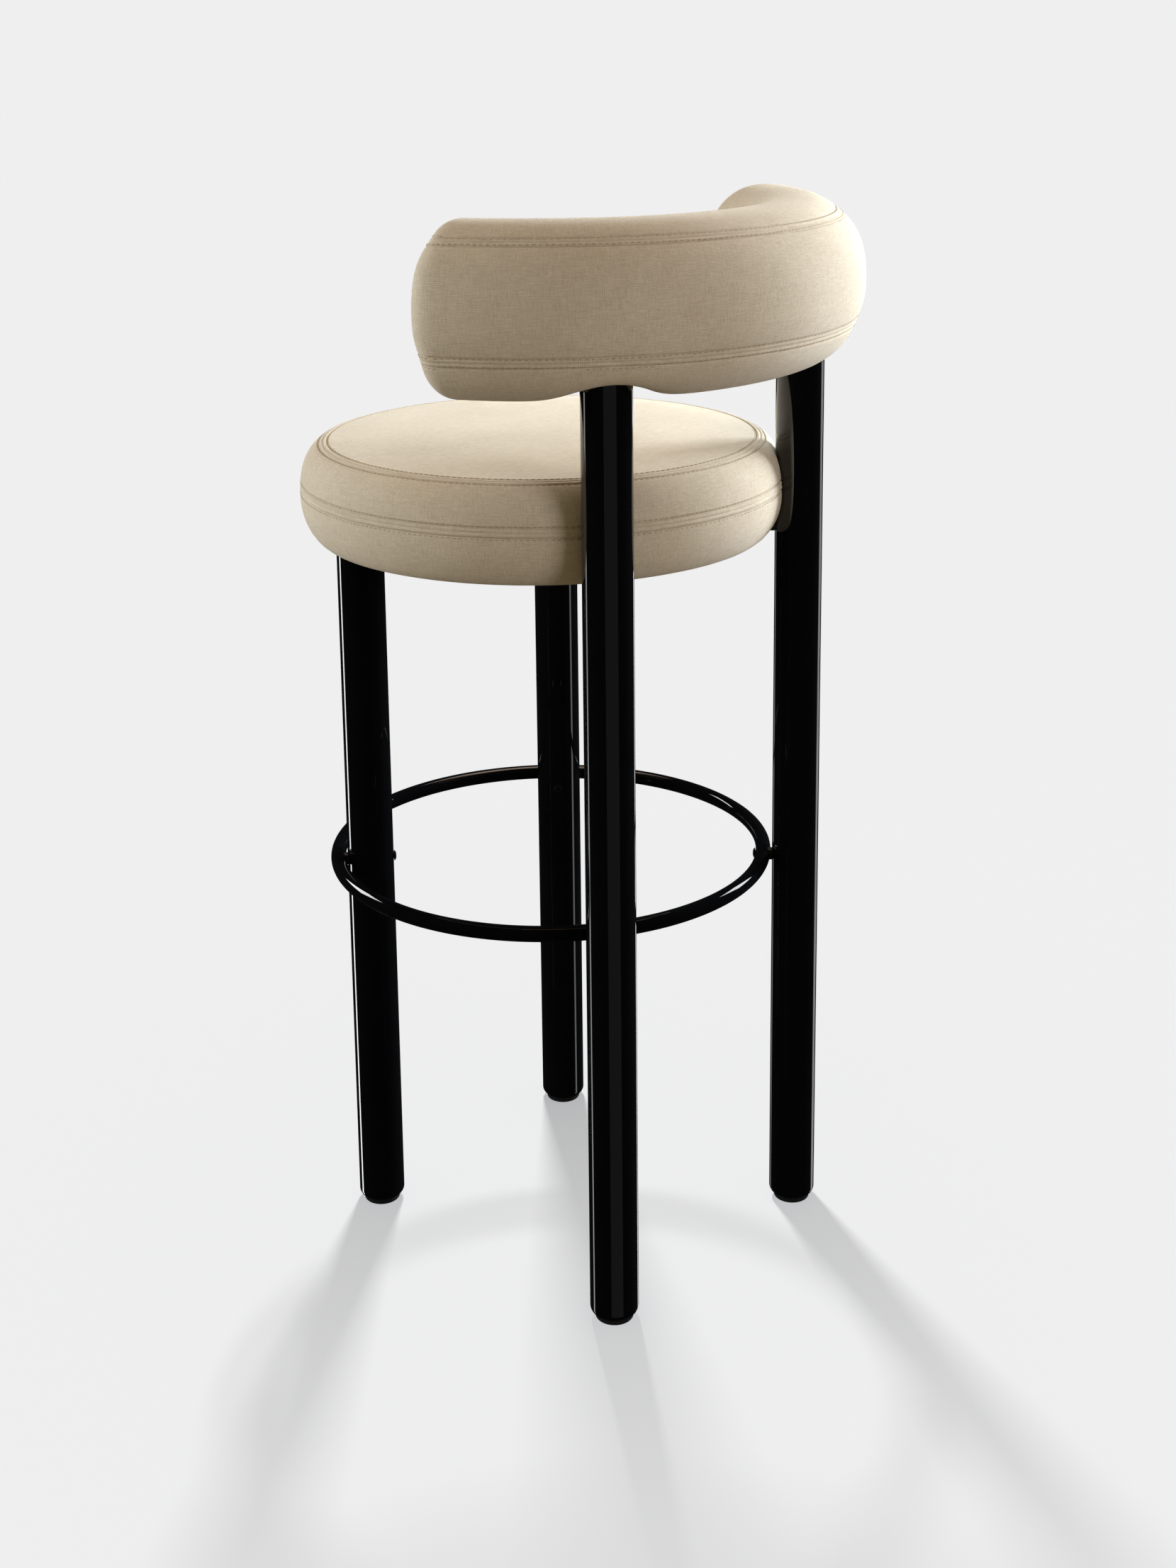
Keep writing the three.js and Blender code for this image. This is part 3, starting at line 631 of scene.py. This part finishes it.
def seat_pinned(co):
    """Where the seat's cover is sewn, stapled to the board, or held by a rear leg."""
    radius = np.hypot(co[:, 0] - seat_axis.x, co[:, 1] - seat_axis.y)
    sewn = (np.abs(co[:, 2] - SEAT_EQUATOR) < SEWN_REACH) & (radius > SEAT_RADIUS - 0.03)
    on_top = co[:, 2] > SEAT_EQUATOR + 0.02
    sewn |= (np.abs(radius - SEAT_TOP_SEAM_RADIUS) < SEWN_REACH) & on_top
    stapled = (radius < SEAT_RADIUS - SEAT_ROUND) & (co[:, 2] < SEAT_EQUATOR - STAPLED_DEPTH)
    held = np.zeros(len(co), bool)
    for side in SIDES:
        leg = middle("rear_leg_" + side)
        held |= np.hypot(co[:, 0] - leg.x, co[:, 1] - leg.y) < SEAT_LEG_HOLD
    return sewn | stapled | held


def seat_cushion():
    outline = softened(seat_outline(), 0.007)
    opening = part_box("seat_dust_cover")[1].x + GAP
    board_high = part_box("seat_board")[1]
    board_radius = board_high.x + GAP
    outline = np.vstack([outline, [(opening, SEAT_BOTTOM)]])
    run = lengths(outline)
    top_seam = run[np.argmax(outline[:, 0] > SEAT_TOP_SEAM_RADIUS)]
    lower_seam = run[np.argmin(outline[:, 1] > SEAT_EQUATOR)]
    seam_runs = [top_seam, lower_seam]
    samples = spaced(run[-1], seam_runs, 0.00055, 0.0045, 0.008)[::-1]
    radius = np.interp(samples, run, outline[:, 0])
    height = np.interp(samples, run, outline[:, 1])
    sides = 720
    points = rings(np.stack([radius, height], 1), seat_axis, sides)
    normal = normals_of(points, True)
    normal[-1] = (0, 0, 1)
    away = np.min([np.abs(samples - s) for s in seam_runs], axis=0)
    points = points + normal * groove(away)[:, None, None]
    ceiling, edge = board_high.z + GAP, SEAT_BOTTOM + COVER
    pocket = [(0, ceiling), (board_radius, ceiling), (board_radius, edge), (opening, edge)]
    points = np.concatenate([rings(pocket, seat_axis, sides), points])
    turn = np.arange(sides + 1) / sides
    threads_round = round(2 * math.pi * SEAT_RADIUS / THREAD_PITCH)
    threads_down = samples[:, None] / THREAD_PITCH
    uv_round = np.stack(np.broadcast_arrays(turn[None] * threads_round, threads_down), -1)
    angle = turn * 2 * math.pi
    flat = np.stack([radius[:, None] * np.cos(angle), radius[:, None] * np.sin(angle)], -1)
    uv = np.where((samples < seam_runs[0])[:, None, None], flat / THREAD_PITCH, uv_round)
    uv = np.concatenate([np.repeat(uv[:1], len(pocket), 0), uv])
    thing = grid_object("seat_cushion", points, uv, (True, True))
    inflate(thing, seat_pinned, SEAT_SWELL)
    co = places(thing.data)
    for side in SIDES:
        co = press(co, middle("rear_leg_" + side), leg_radius + 0.0010)
    set_places(thing.data, co)

    def at(place):
        return np.interp(place, run, outline[:, 0]), np.interp(place, run, outline[:, 1])

    joins = [rings([at(s)], seat_axis, 2800)[0] for s in seam_runs]
    crease(thing, np.concatenate(joins))
    hollow(thing, [seat_spacer_tool(side) for side in SIDES])
    lines = []
    for s in seam_runs:
        for offset in (-STITCH_OFFSET, STITCH_OFFSET):
            circle = rings([at(s + offset)], seat_axis, sides)[0]
            lines.append(np.vstack([circle, circle[:1]]))
    return thing, lines


def seat_spacer_tool(side):
    """A rod along the spacer between the board and a rear leg, a little thicker than it."""
    axis = middle("rear_leg_" + side) - seat_axis
    axis.z = 0
    outward = axis.normalized()
    low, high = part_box("rear_seat_spacer_" + side)
    radius = (high.z - low.z) / 2 + 0.0008
    start, end = 0.190, 0.226  # from inside the board to past the seat's cover
    rod = [(0, start), (radius, start), (radius, end), (0, end)]
    tool = lathe("spacer_tool_" + side, rod, (0, 0), 32)
    tool.data.transform(Vector((0, 0, 1)).rotation_difference(outward).to_matrix().to_4x4())
    tool.data.transform(Matrix.Translation((seat_axis.x, seat_axis.y, (low.z + high.z) / 2)))
    return tool


def press(points, axis, reach):
    """Cloth held off a vertical tube: what would be inside it is moved to its side nearest the seat."""
    away = points[..., :2] - np.array(axis[:2])
    distance = np.linalg.norm(away, axis=-1)
    inwards = np.array(seat_axis[:2]) - np.array(axis[:2])
    inwards /= np.linalg.norm(inwards)
    depth = away @ inwards
    across = away @ np.array([-inwards[1], inwards[0]])
    wanted = np.sqrt(np.clip(reach ** 2 - across ** 2, 0, None))
    inside = (np.abs(across) < reach) & (depth < wanted)
    moved = points.copy()
    moved[..., :2] += np.where(inside, wanted - depth, 0)[..., None] * inwards
    return moved


# ---- backrest -------------------------------------------------------------------------------
BACK_LENGTH = BACK_RADIUS * BACK_HALF_ANGLE + BACK_STRAIGHT  # from its middle to an end


def signed_power(value, exponent):
    return np.sign(value) * np.abs(value) ** exponent


def back_point(along, out, up):
    """A place by its distance along the cushion, and out and up from the cushion's middle line."""
    arc_length = BACK_RADIUS * BACK_HALF_ANGLE
    angle = np.clip(along, -arc_length, arc_length) / BACK_RADIUS
    past = np.sign(along) * np.maximum(np.abs(along) - arc_length, 0)
    reach = BACK_RADIUS + out
    x = reach * np.sin(angle) + past * np.cos(angle)
    y = BACK_Y + reach * np.cos(angle) - past * np.sin(angle)
    return np.stack(np.broadcast_arrays(x, y, BACK_HEIGHT + up), -1)


def end_depth(fullness):
    """How far past the start of the round end the cushion has this share of its section."""
    return (1 - fullness ** BACK_END_POWER) ** (1 / BACK_END_POWER)


def section(angle):
    """Out and up of the full section at an angle, anticlockwise from straight out."""
    out = BACK_HALF_THICKNESS * signed_power(np.cos(angle), 2 / BACK_POWER)
    up = BACK_HALF_HEIGHT * signed_power(np.sin(angle), 2 / BACK_POWER)
    return out, up


def seam_angle(up):
    return math.copysign(math.asin((abs(up) / BACK_HALF_HEIGHT) ** (BACK_POWER / 2)), up)


def seam_loop():
    """The closed join round the outer band: along both seams, and round each end."""
    straight = BACK_LENGTH - BACK_END_LENGTH
    runs = np.linspace(-straight, straight, 900)
    upper_out, upper_up = section(seam_angle(BACK_TOP_SEAM))
    lower_out, lower_up = section(seam_angle(BACK_LOWER_SEAM))
    turn = np.linspace(math.pi / 2, -math.pi / 2, 160)
    half, centre_up = (upper_up - lower_up) / 2, (upper_up + lower_up) / 2
    blend = 1 - np.cos(turn) ** 1.2
    base_out = np.where(turn > 0, upper_out, lower_out)
    end_out = BACK_SEAM_END + (base_out - BACK_SEAM_END) * blend
    end_up = centre_up + half * np.sin(turn)
    full = (np.abs(end_out / BACK_HALF_THICKNESS) ** BACK_POWER
            + np.abs(end_up / BACK_HALF_HEIGHT) ** BACK_POWER) ** (1 / BACK_POWER)
    end_along = straight + BACK_END_LENGTH * end_depth(np.clip(full, 0, 1))
    upper = back_point(runs, upper_out, upper_up)
    right = back_point(end_along, end_out, end_up)
    lower = back_point(runs[::-1], lower_out, lower_up)
    left = back_point(-end_along[::-1], end_out[::-1], end_up[::-1])
    loop = np.concatenate([upper, right[1:-1], lower, left[1:-1], upper[:1]])
    run = lengths(loop)
    even = np.arange(0, run[-1], 0.0004)
    return np.stack([np.interp(even, run, loop[:, k]) for k in range(3)], 1)


def distance_to(points, line):
    """Each point's distance to the nearest point of a line."""
    tree = near(line)
    return np.array([tree.find(p)[2] for p in points.reshape(-1, 3)]).reshape(points.shape[:-1])


def backrest_cushion():
    angles = np.linspace(-math.pi, math.pi, 4001)
    outline = np.stack(section(angles), 1)
    run = lengths(outline)
    seam_runs = [np.interp(seam_angle(up), angles, run) for up in (BACK_LOWER_SEAM, BACK_TOP_SEAM)]
    samples = spaced(run[-1], seam_runs, 0.00065, 0.0028, 0.008)[:-1]
    turn = np.interp(samples, run, angles)
    out, up = section(turn)
    straight = BACK_LENGTH - BACK_END_LENGTH
    body = np.linspace(-straight, straight, 460)
    cap = np.linspace(0, 1, 70)[1:]
    narrowing = 1 - cap ** BACK_END_CROWDING
    fullness = np.concatenate([narrowing[::-1], np.ones(len(body)), narrowing])
    depth = BACK_END_LENGTH * end_depth(narrowing)
    along = np.concatenate([-(straight + depth)[::-1], body, straight + depth])
    points = back_point(along[:, None], out * fullness[:, None], up * fullness[:, None])
    normal = normals_of(points, True)
    for row, sign in ((0, -1), (-1, 1)):
        tip = back_point(np.array([sign * BACK_LENGTH, sign * BACK_LENGTH * 1.01]), 0, 0)
        normal[row] = (tip[1] - tip[0]) / np.linalg.norm(tip[1] - tip[0])
    loop = seam_loop()
    points = points + normal * groove(distance_to(points, loop))[..., None]
    for side in SIDES:
        leg = np.array(middle("rear_leg_" + side))
        away = np.linalg.norm(points[..., :2] - leg[:2], axis=-1)
        under = np.clip(-normal[..., 2], 0, 1) * (points[..., 2] < BACK_HEIGHT)
        points[..., 2] += BACK_ARCH_RISE * np.exp(-(away / BACK_ARCH_REACH) ** 2) * under
    threads_along = along[:, None] * OUTER_SPAN / THREAD_PITCH
    threads_round = np.append(samples, run[-1])[None] / THREAD_PITCH
    uv = np.stack(np.broadcast_arrays(threads_along, threads_round), -1)
    wrapped = [np.append(side, side[0]) for side in (out, up)]
    cap_uv = np.stack([fullness[:, None] * side[None] for side in wrapped], -1) / THREAD_PITCH
    cap_rows = np.minimum(fullness, np.append(fullness[1:], 0)) < CAP_FULLNESS
    thing = grid_object("backrest_cushion", points, uv, (True, True), cap_uv, cap_rows)
    seam_tree = near(loop)

    def pinned(co):
        sewn = np.array([seam_tree.find(spot)[2] < SEWN_REACH for spot in co])
        held = np.zeros(len(co), bool)
        for side in SIDES:
            leg = middle("rear_leg_" + side)
            under = co[:, 2] < BACK_HEIGHT
            held |= (np.hypot(co[:, 0] - leg.x, co[:, 1] - leg.y) < BACK_LEG_HOLD) & under
        return sewn | held

    inflate(thing, pinned, BACK_SWELL)
    crease(thing, loop)
    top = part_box("rear_leg_cap_right")[1].z + 0.001
    bores = []
    for side in SIDES:
        bore = [(0, SEAT_TOP), (leg_radius + 0.001, SEAT_TOP), (leg_radius + 0.001, top), (0, top)]
        bores.append(lathe("leg_tool_" + side, bore, middle("rear_leg_" + side), 96))
    hollow(thing, bores)
    tangent = np.gradient(loop, axis=0)
    tree = BVHTree.FromObject(thing, bpy.context.evaluated_depsgraph_get())
    facing = np.array([tree.find_nearest(Vector(p))[1] for p in loop])
    window = np.hanning(2 * FACING_SPAN + 1)
    padded = np.concatenate([facing[-FACING_SPAN:], facing, facing[:FACING_SPAN]])
    facing = np.stack([np.convolve(padded[:, k], window, "valid") for k in range(3)], 1)
    across = np.cross(facing, tangent)
    across /= np.linalg.norm(across, axis=1, keepdims=True)
    lines = [loop + across * offset for offset in (-STITCH_OFFSET, STITCH_OFFSET)]
    return thing, lines


# ---- build ----------------------------------------------------------------------------------
lacquer = lacquer_material()
linen = linen_material("beige_linen", linear(150, 132, 104), linear(234, 219, 192))
thread_yarn = speckled_material("topstitch_thread", linear(140, 121, 94), linear(170, 150, 120), 0.7, 900)
black_plastic = speckled_material("black_nylon", (0.008, 0.008, 0.008), (0.016, 0.016, 0.016), 0.42)
black_steel = speckled_material("black_oxide_steel", (0.01, 0.01, 0.01), (0.03, 0.03, 0.03), 0.3, 500, 0.8)
zinc_steel = speckled_material("zinc_plated_steel", (0.5, 0.5, 0.5), (0.7, 0.7, 0.69), 0.3, 500, 1.0)
foam_rubber = speckled_material("cut_foam", linear(214, 200, 150), linear(240, 230, 190), 0.95, 1200,
                                bump=0.5)
dust_cloth = speckled_material("black_dust_cloth", (0.012, 0.012, 0.012), (0.03, 0.03, 0.03), 0.95, 1500,
                               bump=0.4)
plywood = plywood_material()

SLOT_MATERIALS = {
    "lacquer": lacquer, "linen": linen, "black_plastic": black_plastic, "black_steel": black_steel,
    "zinc_steel": zinc_steel, "foam": foam_rubber, "dust_cloth": dust_cloth, "plywood": plywood,
}
for part in frame["record"]["subparts"]:
    wear(frame["nodes"][part["node"]], SLOT_MATERIALS[part["material_slot"]])

leg_low, leg_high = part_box("front_leg_right")
leg_radius = (leg_high.x - leg_low.x) / 2
for side in SIDES:
    for place in PLACES:
        leg = f"{place}_leg_{side}"
        place_piece(leg_tube(leg), lacquer, "lacquer", leg)
        glide = f"{place}_glide_{side}"
        place_piece(glide_disc(glide), black_plastic, "black_plastic", glide)
ring = ring_rod()
place_piece(ring, lacquer, "lacquer", "footrest_ring")

seat, seat_lines = seat_cushion()
place_piece(seat, linen, "linen", "seat_cover_top", "seat_cover_band", "seat_cover_bottom", "seat_foam")
stitches("seat_topstitching", seat, seat_lines, thread_yarn)

back, back_lines = backrest_cushion()
place_piece(back, linen, "linen", "backrest_cover_band", "backrest_cover_wrap",
            "backrest_foam_inner", "backrest_foam_outer")
stitches("backrest_topstitching", back, back_lines, thread_yarn)

# ---- floor, light and camera ----------------------------------------------------------------
BACKDROP = 0.863  # what the camera sees behind the stool, and on lit floor
FLOOR_REACH = 60.0
FLOOR_TINT = 0.3
FLOOR_LAMP_POWER = 28.0
CAMERA_PLACE = Vector((1.4617, 1.3310, 1.1763))
CAMERA_AZIMUTH = math.radians(131.87)
CAMERA_PITCH = math.radians(12.675)
CAMERA_ROLL = math.radians(-0.631)
CAMERA_LENS = 49.62
CAMERA_SENSOR = 36
CAMERA_SHIFT = -0.19

ahead = Vector((-math.sin(CAMERA_AZIMUTH), math.cos(CAMERA_AZIMUTH), 0))
right = Vector((ahead.y, -ahead.x, 0))
up_axis = Vector((0, 0, 1))


def from_camera(aside, beyond, height):
    """A place by how far it is to the right of the stool and beyond it, as the camera sees it."""
    return right * aside + ahead * beyond + Vector((0, 0, height))


def stage_floor(lamp, aim, fill):
    """A floor that the lamp's light and its own glow make equally pale everywhere outside shadows."""
    corners = [(x * FLOOR_REACH, y * FLOOR_REACH, 0) for x, y in ((-1, -1), (1, -1), (1, 1), (-1, 1))]
    floor = make_object("floor", np.array(corners), np.array([[0, 1, 2, 3]]))
    nodes = Nodes("pale_floor")
    nodes.set(Base_Color=(FLOOR_TINT, FLOOR_TINT, FLOOR_TINT, 1), Roughness=1.0, Specular_IOR_Level=0.0)
    offset = nodes.add("Mapping")
    nodes.link(nodes.place, offset.inputs["Vector"])
    offset.inputs["Location"].default_value = -lamp
    ray = offset.outputs["Vector"]
    facing = nodes.add("VectorMath", operation="DOT_PRODUCT")
    nodes.link(ray, facing.inputs[0])
    facing.inputs[1].default_value = (aim - lamp).normalized()
    span = nodes.add("VectorMath", operation="LENGTH")
    nodes.link(ray, span.inputs[0])
    toward = nodes.math("MAXIMUM", facing.outputs["Value"], 0.0)
    share = nodes.math("DIVIDE", toward, nodes.math("POWER", span.outputs["Value"], 4.0))
    lamp_glow = FLOOR_TINT * FLOOR_LAMP_POWER / math.pi ** 2 * lamp.z
    glow = nodes.add("VectorMath", operation="MULTIPLY_ADD")
    nodes.link(share, glow.inputs[0])
    glow.inputs[1].default_value = (-lamp_glow, -lamp_glow, -lamp_glow)
    glow.inputs[2].default_value = [BACKDROP - FLOOR_TINT * level for level in fill]
    nodes.link(glow.outputs["Vector"], nodes.shader.inputs["Emission Color"])
    nodes.set(Emission_Strength=1.0)
    wear(floor, nodes.material)
    floor.visible_glossy = False
    floor.visible_diffuse = False
    return floor


def softbox(name, place, target, size, power, colour=(1, 1, 1), glossy=False, only=None):
    """A soft lamp. only is the collection it lights, where it doesn't light everything."""
    data = bpy.data.lights.new(name, "AREA")
    data.shape = "RECTANGLE"
    data.size, data.size_y = size
    data.energy = power
    data.color = colour
    lamp = bpy.data.objects.new(name, data)
    bpy.context.scene.collection.objects.link(lamp)
    lamp.location = place
    lamp.rotation_euler = (Vector(target) - Vector(place)).to_track_quat("-Z", "Y").to_euler()
    lamp.visible_glossy = glossy
    if only:
        lamp.light_linking.receiver_collection = only
    return lamp


def studio_world(fill, mirrored):
    """Pale to the camera, a soft fill for cloth, and a dark room for gloss to mirror."""
    world = bpy.data.worlds.new("studio")
    world.use_nodes = True
    tree = world.node_tree
    tree.nodes.clear()
    path = tree.nodes.new("ShaderNodeLightPath")
    out = tree.nodes.new("ShaderNodeOutputWorld")

    def backdrop(level):
        node = tree.nodes.new("ShaderNodeBackground")
        node.inputs["Color"].default_value = (*level, 1)
        return node.outputs[0]

    def choose(test, no, yes):
        node = tree.nodes.new("ShaderNodeMixShader")
        tree.links.new(test, node.inputs[0])
        tree.links.new(no, node.inputs[1])
        tree.links.new(yes, node.inputs[2])
        return node.outputs[0]

    unseen = choose(path.outputs["Is Glossy Ray"], backdrop(fill), backdrop(mirrored))
    seen = backdrop((BACKDROP, BACKDROP, BACKDROP))
    tree.links.new(choose(path.outputs["Is Camera Ray"], unseen, seen), out.inputs["Surface"])
    bpy.context.scene.world = world


def make_camera():
    data = bpy.data.cameras.new("camera")
    data.lens = CAMERA_LENS
    data.sensor_width = CAMERA_SENSOR
    data.shift_y = CAMERA_SHIFT
    data.clip_end = 200
    camera = bpy.data.objects.new("camera", data)
    bpy.context.scene.collection.objects.link(camera)
    forward = ahead * math.cos(CAMERA_PITCH) - up_axis * math.sin(CAMERA_PITCH)
    above = up_axis * math.cos(CAMERA_PITCH) + ahead * math.sin(CAMERA_PITCH)
    across = right * math.cos(CAMERA_ROLL) + above * math.sin(CAMERA_ROLL)
    top = above * math.cos(CAMERA_ROLL) - right * math.sin(CAMERA_ROLL)
    turn = Matrix((across, top, -forward)).transposed()
    camera.matrix_world = Matrix.Translation(CAMERA_PLACE) @ turn.to_4x4()
    bpy.context.scene.camera = camera


make_camera()
stool_only = bpy.data.collections.new("stool_only")
bpy.context.scene.collection.children.link(stool_only)
for thing in [*bpy.context.scene.collection.objects]:
    if thing.type == "MESH":
        stool_only.objects.link(thing)

FILL = (0.241, 0.206, 0.144)
ROOM = (0.006, 0.006, 0.006)  # what gloss mirrors where there is no lamp
studio_world(FILL, ROOM)
STUDIO_LAMPS = [
    # name, place from_camera, height aimed at, size, watts, colour, whether gloss mirrors it
    ("top", (0.0, 0.9, 3.0), 0.0, (1.6, 1.6), 15, (1.32, 1, 0.79), True),
    ("right_back", (2.6, 1.6, 1.3), 0.8, (1.2, 1.6), 305, (0.87, 1, 1.20), False),
    ("left_back", (-2.4, 1.6, 1.2), 0.8, (1.0, 1.6), 11, (0.50, 1, 1.83), False),
    ("left", (-2.8, 0.0, 1.2), 0.8, (1.0, 1.6), 80, (0.93, 1, 1.11), False),
    ("front_right", (2.5, -2.5, 1.5), 0.8, (1.2, 1.6), 52, (0.98, 1, 1.14), False),
    ("beyond", (0.9, 2.5, 1.7), 0.75, (1.4, 0.8), 130, (0.83, 1, 1.15), False),
]
for name, spot, aim_height, size, power, colour, mirrored in STUDIO_LAMPS:
    softbox(name, from_camera(*spot), (0, 0, aim_height), size, power, colour, mirrored, stool_only)

floor_lamp = from_camera(-0.09, 0.85, 1.25)
floor_aim = from_camera(0.0, -0.35, 0.0)
floor = stage_floor(floor_lamp, floor_aim, FILL)
floor_only = bpy.data.collections.new("floor_only")
bpy.context.scene.collection.children.link(floor_only)
floor_only.objects.link(floor)
softbox("floor_lamp", floor_lamp, floor_aim, (0.14, 0.14), FLOOR_LAMP_POWER, only=floor_only)

# What only the ring mirrors: a panel on each side, beyond it and above it.
ring_only = bpy.data.collections.new("ring_only")
bpy.context.scene.collection.children.link(ring_only)
ring_only.objects.link(ring)
RING_PANEL_POWER = 25
for name, aside in (("left", -2.4), ("right", 2.4)):
    lamp = softbox("ring_panel_" + name, from_camera(aside, 1.4, 1.9), (0, 0, 0.33), (1.0, 1.0),
                   RING_PANEL_POWER, glossy=True, only=ring_only)
    lamp.visible_diffuse = False

# The strips each leg mirrors: degrees to the right of the camera's side, how wide, and how bright.
STRIPS = {
    "front_leg_right": [(-114, 10, 6.0)],
    "front_leg_left": [(82, 10, 1.3)],
    "rear_leg_right": [(-112, 8, 1.8), (14, 57, 0.09), (152, 6, 2.5)],
    "rear_leg_left": [(128, 22, 0.9), (-146, 8, 0.6)],
}
STRIP_AWAY = 2.4
STRIP_HEIGHT = 3.6


def strip(leg, number, angle, spread, radiance):
    """A tall panel that only one leg mirrors. It reaches below the floor, as mirrored rays go down."""
    turn = math.radians(angle)
    axis = middle(leg)
    outward = right * math.sin(turn) - ahead * math.cos(turn)
    place = Vector((axis.x, axis.y, -0.3)) + outward * STRIP_AWAY
    width = 2 * STRIP_AWAY * math.tan(math.radians(spread / 2))
    group = bpy.data.collections.new(f"{leg}_only")
    bpy.context.scene.collection.children.link(group)
    group.objects.link(bpy.data.objects[leg + "_tube"])
    power = radiance * math.pi * width * STRIP_HEIGHT
    lamp = softbox(f"{leg}_strip_{number}", place, (axis.x, axis.y, -0.3), (width, STRIP_HEIGHT), power,
                   glossy=True, only=group)
    lamp.visible_diffuse = False


for leg, strips in STRIPS.items():
    for number, (angle, spread, radiance) in enumerate(strips):
        strip(leg, number, angle, spread, radiance)

scene = bpy.context.scene
scene.view_settings.view_transform = "Standard"
